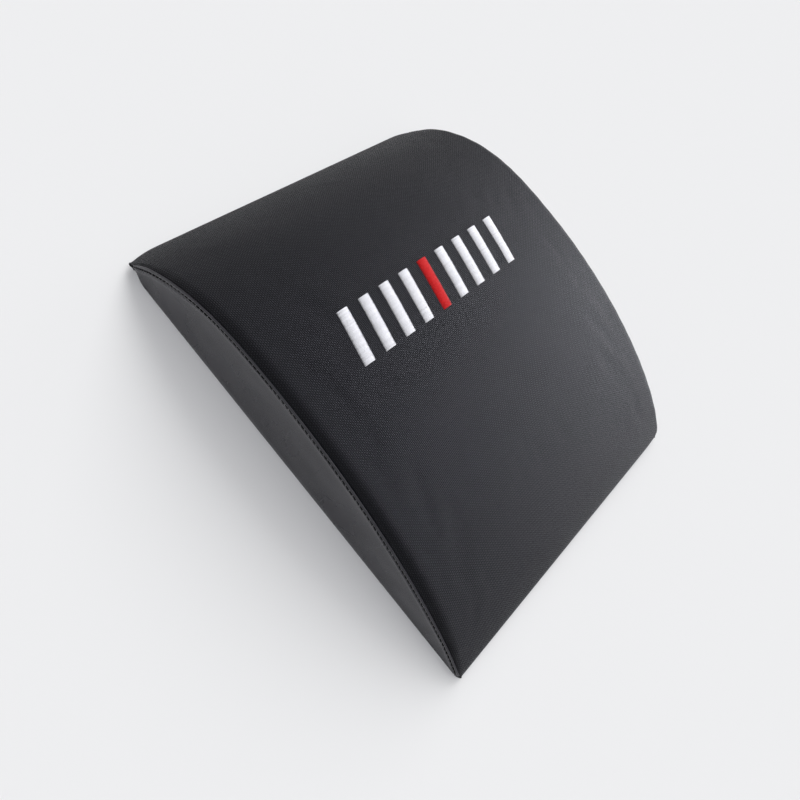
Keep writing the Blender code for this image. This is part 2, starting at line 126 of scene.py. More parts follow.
@dataclass(frozen=True)
class Puckers:
    """Small creases that run into a seam and die away from it."""

    height: float
    half_pitch: float
    reach: float
    waver: Ripple

    def at(self, x: float, y: float, along: float, away: float) -> float:
        """Rise at a place that lies so far along the seam and away from it."""
        phase = along / self.half_pitch * math.tau / 2 + self.waver.at(x, y)
        return self.height * math.sin(phase) * fade(away, self.reach)


# The mat's own shape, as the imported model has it


@dataclass(frozen=True)
class Corner:
    """How far a sewn corner is drawn back and curls up, and the share that it is pinched by."""

    pull: float
    lift: float
    pinch_share: float


@dataclass(frozen=True)
class MatShape:
    """Side profile, seams, rolled edges and corners (left, right) of the filled mat."""

    length: float = 380 * MM
    width: float = 312 * MM
    seam_top: float = 67.4 * MM
    tip: float = 3.0 * MM
    peak_share: float = 0.583
    front_powers: Pair = (1.92, 0.83)
    rear_powers: Pair = (2.96, 0.96)
    roll_rise: float = 5.2 * MM
    roll_least_run: float = 1.5 * MM
    run_per_rise: float = 1.4
    front_swell: float = 2.2
    crown_rise: float = 2.0 * MM
    side_stack: float = 2.2 * MM
    base_top: float = 1.1 * MM
    nose_radius: float = 0.95 * MM
    allowance: float = 8.0 * MM
    allowance_share: float = 0.45
    allowance_room: float = 2 * MM
    first_row: float = 3.5 * MM
    corner_reach: float = 26 * MM
    lift_power: float = 1.5
    corner_tuck: float = 1.3 * MM
    tuck_reach: float = 9 * MM
    front_corners: tuple[Corner, Corner] = (Corner(0.0, 0.0, 0.0), Corner(1.2 * MM, 0.3 * MM, 0.2))
    rear_corners: tuple[Corner, Corner] = (
        Corner(5.0 * MM, 2.5 * MM, 0.75),
        Corner(4.4 * MM, 0.8 * MM, 0.35),
    )

    def settle(self, x: float, y: float, z: float) -> Point:
        """Move a point as the sewn corners draw back, curl up and pinch together.

        Args:
            x: Place across.
            y: Place along.
            z: Height.

        Returns:
            Where the point comes to lie.
        """
        corner = (self.rear_corners if y > 0 else self.front_corners)[x > 0]
        across = max(0.0, abs(x) - self.half_width + self.corner_reach) / self.corner_reach
        near = across**2 * self.near_end(y, self.corner_reach, self.corner_reach)
        pinch = corner.pinch_share * max(0.0, self.seam(y) - z)
        lift = near**self.lift_power * (corner.lift + pinch)
        end = max(0.0, abs(y) - self.half_length + self.tuck_reach) / self.tuck_reach
        tucked = math.copysign(self.corner_tuck * across * end**2, x)
        return x - tucked, y - math.copysign(corner.pull * near, y), z + lift

    @property
    def half_length(self) -> float:
        """Half of the length."""
        return self.length / 2

    @property
    def half_width(self) -> float:
        """Half of the width."""
        return self.width / 2

    def near_end(self, y: float, reach: float, ramp: float) -> float:
        """Rise from 0 to 1 along a ramp that starts so far from either end."""
        return smooth_step((abs(y) - self.half_length + reach) / ramp)

    def bow(self, y: float) -> float:
        """Share of its full height that the side seam reaches.

        Args:
            y: Place along.

        Returns:
            The share, 0 at both ends and 1 at the peak.
        """
        along = y / self.length + 0.5
        if along < self.peak_share:
            away = (self.peak_share - along) / self.peak_share
            first, second = self.front_powers
        else:
            away = (along - self.peak_share) / (1 - self.peak_share)
            first, second = self.rear_powers
        return max(0.0, 1 - away**first) ** second

    def seam(self, y: float) -> float:
        """Height of the seam between the top and a side."""
        return self.tip + (self.seam_top - self.tip) * self.bow(y)

    def rise(self, y: float) -> float:
        """How far the top swells above its seams."""
        ahead = max(0.0, self.peak_share - y / self.length - 0.5) / self.peak_share
        return self.roll_rise * self.bow(y) * (1 + self.front_swell * ahead**2)

    def run(self, y: float) -> float:
        """Width of the rolled edge beside each seam."""
        return self.roll_least_run + self.run_per_rise * self.rise(y)

    def edge(self, y: float) -> float:
        """How far the crowned part of the top reaches across."""
        return self.half_width - self.side_stack - self.run(y)

    def turned_in(self, y: float) -> float:
        """Depth that an allowance has room for under the seam."""
        return self.allowance_share * (self.seam(y) - self.base_top - self.allowance_room)

    def top(self, x: float, y: float) -> float:
        """Height of the top surface.

        Args:
            x: Place across.
            y: Place along.

        Returns:
            The height.
        """
        edge = self.edge(y)
        raised = self.seam(y) + self.rise(y)
        if abs(x) <= edge:
            return raised + self.crown_rise * self.bow(y) * (1 - (x / edge) ** 2)
        over = min(1.0, (abs(x) - edge) / self.run(y))
        return self.seam(y) + self.rise(y) * math.sqrt(1 - over**2)

    def normal(self, x: float, y: float) -> Vector:
        """Direction that the top surface faces.

        Args:
            x: Place across.
            y: Place along.

        Returns:
            The direction, one long.
        """
        step = 0.5 * MM
        across = self.top(x + step, y) - self.top(x - step, y)
        along = self.top(x, y + step) - self.top(x, y - step)
        return Vector((-across / (2 * step), -along / (2 * step), 1)).normalized()


SHAPE = MatShape()


# Wiring of shader nodes


class Wiring:
    """Adds and links the nodes of one tree."""

    def __init__(self, tree: Tree) -> None:
        """Work on a node tree."""
        self.tree = tree

    def add(self, kind: str, inputs: Optional[dict] = None, **settings: object) -> bpy.types.Node:
        """Add a node, with its settings and inputs.

        Args:
            kind: Blender's name of the node, without the word ShaderNode.
            inputs: Values or sockets by the input's name or number.
            **settings: Properties of the node.

        Returns:
            The node.
        """
        node = self.tree.nodes.new("ShaderNode" + kind)
        for name, value in settings.items():
            setattr(node, name, value)
        for key, value in (inputs or {}).items():
            self.feed(node.inputs[key], value)
        return node

    def feed(self, socket: Socket, value: Value) -> None:
        """Link a socket into an input, or write a value on it.

        Args:
            socket: The input.
            value: The other node's output, or the value.
        """
        if isinstance(value, bpy.types.NodeSocket):
            self.tree.links.new(value, socket)
        else:
            socket.default_value = value

    def math(self, operation: str, first: Value, second: Value = 0.0, clamp: bool = False) -> Socket:
        """One sum on two values."""
        return self.add("Math", {0: first, 1: second}, operation=operation, use_clamp=clamp).outputs[0]

    def spread(self, value: Value, old: Pair, new: Pair) -> Socket:
        """Move a range of values onto another range."""
        ends = {"From Min": old[0], "From Max": old[1], "To Min": new[0], "To Max": new[1]}
        return self.add("MapRange", {"Value": value, **ends}).outputs["Result"]

    def noise(self, vector: Value, scale: Value, detail: float = 2.0, roughness: float = 0.5) -> Socket:
        """Soft noise between 0 and 1."""
        inputs = {"Vector": vector, "Scale": scale, "Detail": detail, "Roughness": roughness}
        return self.add("TexNoise", inputs).outputs["Fac"]

    def mix_colour(self, factor: Value, first: Value, second: Value) -> Socket:
        """Mix two colours."""
        return self.add("Mix", {0: factor, 6: first, 7: second}, data_type="RGBA").outputs[2]

    def mix_value(self, factor: Value, first: Value, second: Value) -> Socket:
        """Mix two numbers."""
        return self.add("Mix", {0: factor, 2: first, 3: second}, data_type="FLOAT").outputs[0]

    def bump(self, height: Socket, distance: float, strength: float, **under: Socket) -> Socket:
        """Normal that follows a height in metres times distance, over another bump's Normal."""
        inputs = {"Height": height, "Distance": distance, "Strength": strength, **under}
        return self.add("Bump", inputs).outputs["Normal"]

    def group(self, tree: Tree, **inputs: Value) -> bpy.types.Node:
        """Place a node group, with its inputs by name and _ for a space."""
        named = {name.replace("_", " "): value for name, value in inputs.items()}
        return self.add("Group", named, node_tree=tree)


class Coat(Wiring):
    """A new material, wired onto its Principled shader."""

    def __init__(self, name: str) -> None:
        """Start the material.

        Args:
            name: Its name.
        """
        self.material = bpy.data.materials.new(name)
        self.material.use_nodes = True
        super().__init__(self.material.node_tree)
        self.shader = self.tree.nodes["Principled BSDF"]

    def set(self, **inputs: Value) -> None:
        """Feed the shader's inputs, by name and with _ for a space."""
        for name, value in inputs.items():
            self.feed(self.shader.inputs[name.replace("_", " ")], value)

    def object_place(self) -> Socket:
        """The place on the piece, in metres."""
        return self.add("TexCoord").outputs["Object"]

    def cloth_place(self) -> Socket:
        """The place on the flat cloth, in metres, from the piece's own UV map."""
        return self.add("UVMap", uv_map="cloth").outputs["UV"]


class Effect(Wiring):
    """A shader node group, wired inside."""

    def __init__(self, name: str, **inputs: float) -> None:
        """Start the group, which takes in a place and numbers.

        Args:
            name: The group's name.
            **inputs: Default of each number, by its name with _ for a space.
        """
        super().__init__(bpy.data.node_groups.new(name, "ShaderNodeTree"))
        self.tree.interface.new_socket("Vector", in_out="INPUT", socket_type="NodeSocketVector")
        for label, value in inputs.items():
            label = label.replace("_", " ")
            made = self.tree.interface.new_socket(label, in_out="INPUT", socket_type="NodeSocketFloat")
            made.default_value = value
        self.given = self.tree.nodes.new("NodeGroupInput").outputs

    def put_out(self, **results: Socket) -> Tree:
        """End the group.

        Args:
            **results: What it puts out, each a number.

        Returns:
            The group.
        """
        for label in results:
            self.tree.interface.new_socket(label, in_out="OUTPUT", socket_type="NodeSocketFloat")
        end = self.tree.nodes.new("NodeGroupOutput")
        for label, value in results.items():
            self.feed(end.inputs[label], value)
        return self.tree


def plain_weave() -> Tree:
    """Draw a plain weave: yarns that pass over and under in turn.

    Returns:
        The group, which puts out the height of the yarns, a mask of the yarns
        that run along the cloth, and a shade of its own for each crossing.
    """
    round_power, flat_power = 0.62, 0.30
    effect = Effect("plain weave", Pitch_Across=MM, Pitch_Along=MM, Waver=0.07, Waver_Scale=160.0)
    given = effect.given
    pull = effect.math("SUBTRACT", effect.noise(given["Vector"], given["Waver Scale"]), 0.5)
    waver = effect.math("MULTIPLY", pull, given["Waver"])
    parts = effect.add("SeparateXYZ", {"Vector": given["Vector"]}).outputs
    cells, yarns = [], []
    for axis, pitch in (("X", "Pitch Across"), ("Y", "Pitch Along")):
        count = effect.math("ADD", effect.math("DIVIDE", parts[axis], given[pitch]), waver)
        cells.append(effect.math("FLOOR", count))
        local = effect.math("SUBTRACT", effect.math("FRACT", count), 0.5)
        squared = effect.math("MULTIPLY", effect.math("MULTIPLY", local, local), 4.0)
        yarns.append(effect.math("SUBTRACT", 1.0, squared, clamp=True))
    turn = effect.math("FLOORED_MODULO", effect.math("ADD", *cells), 2.0)
    heights = []
    for powers in ((round_power, flat_power), (flat_power, round_power)):
        rounded = [effect.math("POWER", yarn, power) for yarn, power in zip(yarns, powers)]
        heights.append(effect.math("MULTIPLY", *rounded))
    crossing = effect.add("CombineXYZ", {"X": cells[0], "Y": cells[1]}).outputs[0]
    shade = effect.add("TexWhiteNoise", {"Vector": crossing}, noise_dimensions="3D").outputs["Value"]
    return effect.put_out(Height=effect.mix_value(turn, *heights), Along=turn, Shade=shade)


def fine_grain() -> Tree:
    """Draw the pebbled grain of coated cloth and moulded plastic.

    Returns:
        The group, which puts out the grain's height and slow changes of shade.
    """
    effect = Effect("fine grain", Grain_Scale=900.0, Cloud_Scale=18.0)
    vector, scale = effect.given["Vector"], effect.given["Grain Scale"]
    cells = effect.add("TexVoronoi", {"Vector": vector, "Scale": scale}, feature="SMOOTH_F1")
    height = effect.mix_value(0.5, cells.outputs["Distance"], effect.noise(vector, scale, detail=3.0))
    cloud = effect.noise(vector, effect.given["Cloud Scale"], detail=3.0)
    return effect.put_out(Height=height, Cloud=cloud)


def rub_marks() -> Tree:
    """Draw fine rub marks.

    Returns:
        The group, which puts out a mask of the marks.
    """
    in_mark = (0.58, 0.75)
    effect = Effect("rub marks", Mark_Scale=60.0)
    turned = {"Vector": effect.given["Vector"], "Rotation": (0.3, 0.2, 0.7), "Scale": (1.0, 9.0, 1.0)}
    stretched = effect.add("Mapping", turned).outputs[0]
    marks = effect.noise(stretched, effect.given["Mark Scale"], detail=5.0, roughness=0.7)
    return effect.put_out(Marks=effect.spread(marks, in_mark, (0.0, 1.0)))


class Effects:
    """The node groups that several finishes share."""

    weave: Tree
    grain: Tree
    rubbed: Tree

    @classmethod
    def build(cls) -> None:
        """Make the groups once."""
        cls.weave, cls.grain, cls.rubbed = plain_weave(), fine_grain(), rub_marks()


# Finishes


@dataclass(frozen=True)
class Finish:
    """A material on the Principled shader; each kind adds its own pattern."""

    name: str
    colour: Point
    roughness: float
    specular: float
    metallic: float = 0.0
    tint: Point = (1.0, 1.0, 1.0)
    noise_range: Pair = (0.3, 0.7)

    def make(self) -> bpy.types.Material:
        """Build the material.

        Returns:
            The material.
        """
        coat = Coat(self.name)
        coat.set(Base_Color=self.tone(1.0), Roughness=self.roughness, Metallic=self.metallic)
        coat.set(Specular_IOR_Level=self.specular, Specular_Tint=(*self.tint, 1.0))
        self.pattern(coat)
        return coat.material

    def pattern(self, coat: Coat) -> None:
        """Add the pattern of this finish to its material."""

    def tone(self, times: float) -> Colour:
        """The finish's colour, darker or paler."""
        return (*(channel * times for channel in self.colour), 1.0)

    def rougher(self, changes: Pair) -> Pair:
        """The finish's roughness with each of two changes."""
        return self.roughness + changes[0], self.roughness + changes[1]


@dataclass(frozen=True)
class WovenCloth(Finish):
    """Coated woven cloth of the top, with its plain weave of round yarns."""

    pitch_across: float = 1.33 * MM
    pitch_along: float = 1.075 * MM
    depth: float = 0.55 * MM
    fine_depth: float = 0.02 * MM
    grain_scale: float = 2600.0
    cloud_scale: float = 9.0
    yarn_tones: Pair = (2.3, 3.0)
    cross_tone: float = 0.55
    # Painted shade: the tone of the cloth in the low gaps between the yarns, far darker than the yarns.
    gap_painted_shade_tone: float = 0.10
    gap_range: Pair = (0.45, 1.0)
    crest_range: Pair = (0.35, 0.98)
    lustre: float = 0.24
    yarn_changes: Pair = (0.34, -0.12)
    cloud_changes: Pair = (-0.03, 0.03)

    def pattern(self, coat: Coat) -> None:
        """Draw the weave, the shade of each yarn, painted shade in the gaps between the yarns and slow
        changes of its gloss.

        Args:
            coat: The material.
        """
        place = coat.cloth_place()
        pitches = {"Pitch_Across": self.pitch_across, "Pitch_Along": self.pitch_along}
        height, along, shade = coat.group(Effects.weave, Vector=place, **pitches).outputs
        scales = {"Grain_Scale": self.grain_scale, "Cloud_Scale": self.cloud_scale}
        grain = coat.group(Effects.grain, Vector=place, **scales).outputs
        yarn = coat.mix_colour(shade, *(self.tone(times) for times in self.yarn_tones))
        yarn = coat.mix_colour(along, self.tone(self.cross_tone), yarn)
        # Painted shade: darken the cloth where the weave is low, in the gaps between the yarns.
        in_gap_painted_shade = coat.spread(height, self.gap_range, (1.0, 0.0))
        lustre = coat.math("MULTIPLY", coat.math("SUBTRACT", 0.5, along), self.lustre)
        rough = coat.spread(height, self.crest_range, self.rougher(self.yarn_changes))
        rough = coat.math("ADD", rough, coat.spread(grain["Cloud"], self.noise_range, self.cloud_changes))
        fine = coat.bump(grain["Height"], self.fine_depth, strength=0.5)
        coat.set(
            Base_Color=coat.mix_colour(in_gap_painted_shade, yarn, self.tone(self.gap_painted_shade_tone)),
            Roughness=coat.math("ADD", rough, lustre),
            Normal=coat.bump(height, self.depth, strength=1.0, Normal=fine),
        )


@dataclass(frozen=True)
class Grained(Finish):
    """A surface with a fine grain, slow changes of gloss and light rub marks."""

    grain_scale: float = 1500.0
    cloud_scale: float = 26.0
    mark_scale: float = 45.0
    depth: float = 0.03 * MM
    strength: float = 0.8
    cloud_changes: Pair = (-0.04, 0.05)
    dulling: float = 0.0

    def pattern(self, coat: Coat) -> None:
        """Add the grain, the slow changes and the marks.

        Args:
            coat: The material.
        """
        place = coat.object_place()
        scales = {"Grain_Scale": self.grain_scale, "Cloud_Scale": self.cloud_scale}
        height, cloud = coat.group(Effects.grain, Vector=place, **scales).outputs
        marks = coat.group(Effects.rubbed, Vector=place, Mark_Scale=self.mark_scale).outputs["Marks"]
        rough = coat.spread(cloud, self.noise_range, self.rougher(self.cloud_changes))
        dulled = coat.math("MULTIPLY", marks, self.dulling)
        normal = coat.bump(height, self.depth, self.strength)
        coat.set(Roughness=coat.math("ADD", rough, dulled), Normal=normal)
        self.wear(coat, cloud, marks)

    def wear(self, coat: Coat, cloud: Socket, marks: Socket) -> None:
        """Colour the material by its slow changes and marks."""


@dataclass(frozen=True)
class SmoothVinyl(Grained):
    """Coated cloth with a fine even grain, for the sides and the base."""

    dulling: float = 0.08
    tones: Pair = (0.75, 1.25)

    def wear(self, coat: Coat, cloud: Socket, marks: Socket) -> None:
        """Change the tone slowly."""
        coat.set(Base_Color=coat.mix_colour(cloud, *(self.tone(times) for times in self.tones)))


@dataclass(frozen=True)
class MouldedPlastic(Grained):
    """Moulded plastic of the zip's teeth."""

    grain_scale: float = 2200.0
    cloud_scale: float = 80.0
    mark_scale: float = 220.0
    depth: float = 0.02 * MM
    strength: float = 0.6
    cloud_changes: Pair = (-0.05, 0.10)
    mark_tone: float = 1.8

    def wear(self, coat: Coat, cloud: Socket, marks: Socket) -> None:
        """Rub the crests paler where the slider runs."""
        coat.set(Base_Color=coat.mix_colour(marks, self.tone(1.0), self.tone(self.mark_tone)))


@dataclass(frozen=True)
class LacqueredMetal(Grained):
    """Dark lacquer on cast zinc, with its orange peel."""

    grain_scale: float = 1300.0
    cloud_scale: float = 140.0
    mark_scale: float = 260.0
    depth: float = 0.015 * MM
    strength: float = 0.5
    cloud_changes: Pair = (-0.06, 0.10)
    bare: Colour = (0.34, 0.33, 0.32, 1.0)
    bared_share: float = 0.55

    def wear(self, coat: Coat, cloud: Socket, marks: Socket) -> None:
        """Bare the metal in the rub marks."""
        worn = coat.math("MULTIPLY", marks, self.bared_share)
        coat.set(
            Base_Color=coat.mix_colour(worn, self.tone(1.0), self.bare),
            Metallic=coat.spread(worn, (0.0, 0.5), (self.metallic, 1.0)),
        )


@dataclass(frozen=True)
class SpunThread(Finish):
    """Twisted polyester thread, for the embroidery and the seams."""

    sheen: float = 0.15
    sheen_roughness: float = 0.4
    fibre_scale: float = 3200.0
    fibre_depth: float = 0.04 * MM
    darkest: float = 0.80
    fibre_tone: float = 0.62
    fibre_share: float = 0.25
    fibre_changes: Pair = (0.0, 0.12)

    def pattern(self, coat: Coat) -> None:
        """Shade each thread by its own attribute and add its fine fibres.

        Args:
            coat: The material.
        """
        shade = coat.add("Attribute", attribute_name="shade").outputs["Fac"]
        fibres = coat.noise(coat.object_place(), self.fibre_scale, detail=3.0, roughness=0.6)
        tone = coat.mix_colour(shade, self.tone(self.darkest), self.tone(1.0))
        in_dip = coat.spread(fibres, self.noise_range, (0.0, self.fibre_share))
        coat.set(
            Base_Color=coat.mix_colour(in_dip, tone, self.tone(self.fibre_tone)),
            Roughness=coat.spread(fibres, self.noise_range, self.rougher(self.fibre_changes)),
            Normal=coat.bump(fibres, self.fibre_depth, strength=0.6),
            Sheen_Weight=self.sheen,
            Sheen_Roughness=self.sheen_roughness,
        )


@dataclass(frozen=True)
class TapeCloth(Finish):
    """Finely woven tape that carries the zip."""

    # Tones by the height of the ribs: the darker one is painted shade in the valleys, the paler one
    # lightens the crests.
    tones: Pair = (0.4, 1.3)
    depth: float = 0.10 * MM

    def pattern(self, coat: Coat) -> None:
        """Add the tape's ribs, with painted shade in the valleys between them and paler crests.

        Args:
            coat: The material.
        """
        weave = {"Pitch_Across": 0.55 * MM, "Pitch_Along": 0.8 * MM, "Waver": 0.05}
        height = coat.group(Effects.weave, Vector=coat.cloth_place(), **weave).outputs["Height"]
        # Painted shade: darker in the rib valleys, paler on the crests.
        tone = coat.mix_colour(height, *(self.tone(times) for times in self.tones))
        coat.set(Base_Color=tone, Normal=coat.bump(height, self.depth, strength=0.9))


@dataclass(frozen=True)
class CutFoam(Finish):
    """Skived closed-cell foam of the core."""

    cell_scale: float = 1400.0
    cell_range: Pair = (0.1, 0.6)
    # Tones by the distance from each cell's middle: the darker one is painted shade in the cell hollows.
    tones: Pair = (0.45, 1.2)
    depth: float = 0.3 * MM

    def pattern(self, coat: Coat) -> None:
        """Add the foam's open cells on its cut faces, with painted shade darkening the hollow of each cell.

        Args:
            coat: The material.
        """
        inputs = {"Vector": coat.object_place(), "Scale": self.cell_scale}
        cells = coat.add("TexVoronoi", inputs).outputs["Distance"]
        # Painted shade: the cut face is darker in the hollow middle of each cell.
        cell_hollow_painted_shade = coat.spread(cells, self.cell_range, (0.0, 1.0))
        tone = coat.mix_colour(cell_hollow_painted_shade, *(self.tone(times) for times in self.tones))
        coat.set(Base_Color=tone, Normal=coat.bump(cells, self.depth, strength=0.8))


class Finishes(Enum):
    """Every finish on the mat, each with its name, colour, roughness and specular level."""

    WOVEN = WovenCloth("woven_black_cloth", (0.0086, 0.0085, 0.0099), 0.46, 0.14, tint=(0.80, 0.82, 1.0))
    VINYL = SmoothVinyl("smooth_black_vinyl", (0.034, 0.033, 0.0375), 0.25, 0.34, tint=(0.90, 0.89, 1.0))
    BASE = SmoothVinyl(
        "base_black_vinyl", (0.020, 0.020, 0.022), 0.60, 0.4, grain_scale=700.0, depth=0.12 * MM
    )
    # The sewing thread is black; its near-black tone also stands in for painted shade of the stitch holes
    # and the groove beside the stitches.
    SEWING = SpunThread("black_sewing_thread", (0.003, 0.003, 0.0033), 0.60, 0.06, sheen=0.0)
    WHITE = SpunThread("white_embroidery_thread", (0.86, 0.86, 0.90), 0.38, 0.5)
    RED = SpunThread("red_embroidery_thread", (0.66, 0.006, 0.008), 0.50, 0.12, sheen=0.0)
    TAPE = TapeCloth("black_zip_tape", (0.018, 0.018, 0.019), 0.80, 0.3)
    TEETH = MouldedPlastic("moulded_black_teeth", (0.022, 0.022, 0.024), 0.36, 0.5)
    METAL = LacqueredMetal("lacquered_zinc", (0.035, 0.035, 0.037), 0.30, 0.5, metallic=0.35)
    FOAM = CutFoam("skived_foam", (0.10, 0.10, 0.11), 0.95, 0.2)

    @property
    def material(self) -> bpy.types.Material:
        """The finish's material, which is made at its first use."""
        return bpy.data.materials.get(self.value.name) or self.value.make()


# Making pieces


def object_from(name: str, bm: bmesh.types.BMesh, material: bpy.types.Material) -> Piece:
    """Turn a bmesh into a smooth-shaded piece at the origin.

    Args:
        name: The piece's name.
        bm: Its shape, which is freed.
        material: Its material.

    Returns:
        The new object.
    """
    mesh = bpy.data.meshes.new(name)
    bm.to_mesh(mesh)
    bm.free()
    mesh.materials.append(material)
    mesh.shade_smooth()
    made = bpy.data.objects.new(name, mesh)
    bpy.context.scene.collection.objects.link(made)
    return made


def flat_lengths(places: np.ndarray) -> tuple[np.ndarray, np.ndarray]:
    """Measure a shaped sheet, along its middle column and across from there.

    Args:
        places: Its points by column and row.

    Returns:
        Each point's length across, and each row's length along.
    """
    middle = len(places) // 2
    across = np.zeros(places.shape[:2])
    across[1:] = np.linalg.norm(np.diff(places, axis=0), axis=2).cumsum(axis=0)
    along = np.zeros(places.shape[1])
    along[1:] = np.linalg.norm(np.diff(places[middle], axis=0), axis=1).cumsum()
    return across - across[middle], along


def face_outwards(bm: bmesh.types.BMesh, outward: Point) -> None:
    """Turn a sheet's faces so that on the whole they look along a direction.

    Args:
        bm: The sheet.
        outward: The direction.
    """
    bmesh.ops.recalc_face_normals(bm, faces=bm.faces)
    total = sum((face.normal * face.calc_area() for face in bm.faces), Vector())
    if total.dot(Vector(outward)) < 0:
        bmesh.ops.reverse_faces(bm, faces=bm.faces)


def cloth_piece(
    name: str, cells: tuple[int, int], place: Callable[[int, int], Point], outward: Point, finish: Finishes
) -> Piece:
    """Shape a grid into a sheet of cloth, with its flat lengths in the UV map named cloth.

    Args:
        name: The piece's name.
        cells: Numbers of cells across and along.
        place: Gives a point's place from its column and row.
        outward: Direction that its outer side looks in.
        finish: Its finish.

    Returns:
        The sheet, with no thickness yet.
    """
    columns, rows = cells
    bm = bmesh.new()
    bmesh.ops.create_grid(bm, x_segments=columns, y_segments=rows, size=0.5, calc_uvs=False)
    index = {}
    places = np.zeros((columns + 1, rows + 1, 3))
    for vert in bm.verts:
        index[vert] = (round((vert.co.x + 0.5) * columns), round((vert.co.y + 0.5) * rows))
        vert.co = place(*index[vert])
        places[index[vert]] = vert.co
    across, along = flat_lengths(places)
    layer = bm.loops.layers.uv.new("cloth")
    for face in bm.faces:
        for loop in face.loops:
            column, row = index[loop.vert]
            loop[layer].uv = across[column, row], along[row]
    face_outwards(bm, outward)
    return object_from(name, bm, finish.material)


def thicken(piece: Piece, thickness: float) -> None:
    """Give a sheet its thickness on its inner side.

    Args:
        piece: The sheet.
        thickness: How thick it becomes.
    """
    wall = piece.modifiers.new("cloth thickness", "SOLIDIFY")
    wall.thickness = thickness
    wall.offset = -1
    wall.use_even_offset = False


def finish_piece(piece: Piece, replaced: Sequence[str] = ()) -> None:
    """Set a piece on the mat, and let it stand for CAD nodes.

    Args:
        piece: The piece.
        replaced: The nodes that it stands for.
    """
    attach(piece, MAT_BODY)
    if replaced:
        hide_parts(*replaced)
    LOG.info("%s: %d faces", piece.name, len(piece.data.polygons))


# Pieces


@dataclass
class FoamBlock:
    """The firm foam wedge inside the cover, with a groove for the zip."""

    shape: MatShape
    inset: float = 1.8 * MM
    top_inset: float = 2.34 * MM
    cuts: tuple[int, int, int] = (30, 110, 6)
    end_room: float = 4.0 * MM
    groove_half: float = 17.6 * MM
    groove_floor_half: float = 13.0 * MM
    groove_length_half: float = 148.5 * MM
    groove_end_ramp: float = 6 * MM
    groove_top: float = 9.2 * MM
    floor_room: float = 0.2 * MM
    rim: float = 2.4 * MM
    rim_ramp: float = 2 * MM
    side_rim_room: float = 2 * MM
    end_rim_room: float = 3 * MM
    least_rise: float = 0.8 * MM
    least_height: float = 0.5 * MM
    inside_share: float = 0.999

    def floor(self, x: float, y: float) -> float:
        """Height of the foam's underside, with the groove and the rim over the allowances.

        Args:
            x: Place across.
            y: Place along.

        Returns:
            The height.
        """
        shape = self.shape
        wall = self.groove_half - self.groove_floor_half
        deep = smooth_step((self.groove_half - abs(y - ZIP_Y)) / wall)
        deep *= smooth_step((self.groove_length_half - abs(x)) / self.groove_end_ramp)
        foot = shape.half_width - shape.allowance - self.side_rim_room
        low = shape.base_top + self.floor_room
        low += (self.rim - shape.base_top) * smooth_step((abs(x) - foot) / self.rim_ramp)
        rim_reach = shape.allowance + self.end_rim_room
        low = max(low, self.rim * shape.near_end(y, rim_reach, self.rim_ramp))
        return low + (self.groove_top - low) * deep

    def build(self) -> None:
        """Make the foam and let it stand for its CAD solid."""
        shape = self.shape
        bm = bmesh.new()
        bmesh.ops.create_cube(bm, size=2.0)
        for axis, cuts in enumerate(self.cuts):
            edges = [edge for edge in bm.edges if edge.verts[0].co[axis] != edge.verts[1].co[axis]]
            bmesh.ops.subdivide_edges(bm, edges=edges, cuts=cuts, use_grid_fill=True)
        for vert in bm.verts:
            across, along, up = vert.co
            y = along * (shape.half_length - self.end_room)
            x = across * (shape.edge(y) + shape.run(y) - self.inset)
            high = max(shape.top(x * self.inside_share, y) - self.top_inset, self.rim + self.least_rise)
            low = min(self.floor(x, y), high - self.least_height)
            vert.co = shape.settle(x, y, low + (high - low) * (up + 1) / 2)
        bmesh.ops.recalc_face_normals(bm, faces=bm.faces)
        piece = object_from("foam_block", bm, Finishes.FOAM.material)
        finish_piece(piece, ["foam_core"])


@dataclass
class ClothSettling:
    """A short cloth simulation in which a panel swells and settles between its seams."""

    frames: int = 20
    outward_cap: float = 0.6 * MM
    inward_cap: float = 0.10 * MM

    CLOTH_SETTINGS = {
        "quality": 6,
        "mass": 0.25,
        "tension_stiffness": 25.0,
        "compression_stiffness": 25.0,
        "shear_stiffness": 10.0,
        "bending_stiffness": 2.0,
        "use_pressure": True,
        "uniform_pressure_force": 4.0,
        "shrink_min": -0.001,
        "pin_stiffness": 1.0,
    }

    def simulated(self, piece: Piece, group: str) -> np.ndarray:
        """Run the simulation.

        Args:
            piece: The panel.
            group: Name of the vertex group that holds it.

        Returns:
            Its points after the last frame.
        """
        cloth = piece.modifiers.new("settling", "CLOTH")
        for name, value in self.CLOTH_SETTINGS.items():
            setattr(cloth.settings, name, value)
        cloth.settings.vertex_group_mass = group
        cloth.settings.effector_weights.gravity = 0.0
        cloth.collision_settings.use_collision = False
        cloth.point_cache.frame_start = 1
        cloth.point_cache.frame_end = self.frames
        for number in range(1, self.frames + 1):
            bpy.context.scene.frame_set(number)
        settled = piece.evaluated_get(bpy.context.evaluated_depsgraph_get()).data
        end = np.array([vert.co for vert in settled.vertices])
        piece.modifiers.remove(cloth)
        return end

    def run(self, piece: Piece, held: Callable[[Vector], float]) -> None:
        """Simulate a panel and write the result into its mesh.

        Args:
            piece: The panel, a sheet with no thickness yet.
            held: Gives how firmly a point is held, from 0 to 1.
        """
        start = np.array([vert.co for vert in piece.data.vertices])
        group = piece.vertex_groups.new(name="held")
        for vert in piece.data.vertices:
            group.add([vert.index], held(vert.co), "REPLACE")
        end = self.simulated(piece, group.name)
        normals = np.array([vert.normal for vert in piece.data.vertices])
        out = ((end - start) * normals).sum(axis=1, keepdims=True)
        cap = np.where(out > 0, self.outward_cap, self.inward_cap)
        move = normals * cap * np.tanh(out / cap)
        piece.vertex_groups.clear()
        bpy.context.scene.frame_set(1)
        piece.data.vertices.foreach_set("co", (start + move).astype(np.float32).ravel())
        piece.data.update()
        LOG.info("%s settled by up to %.2f mm", piece.name, np.linalg.norm(move, axis=1).max() / MM)


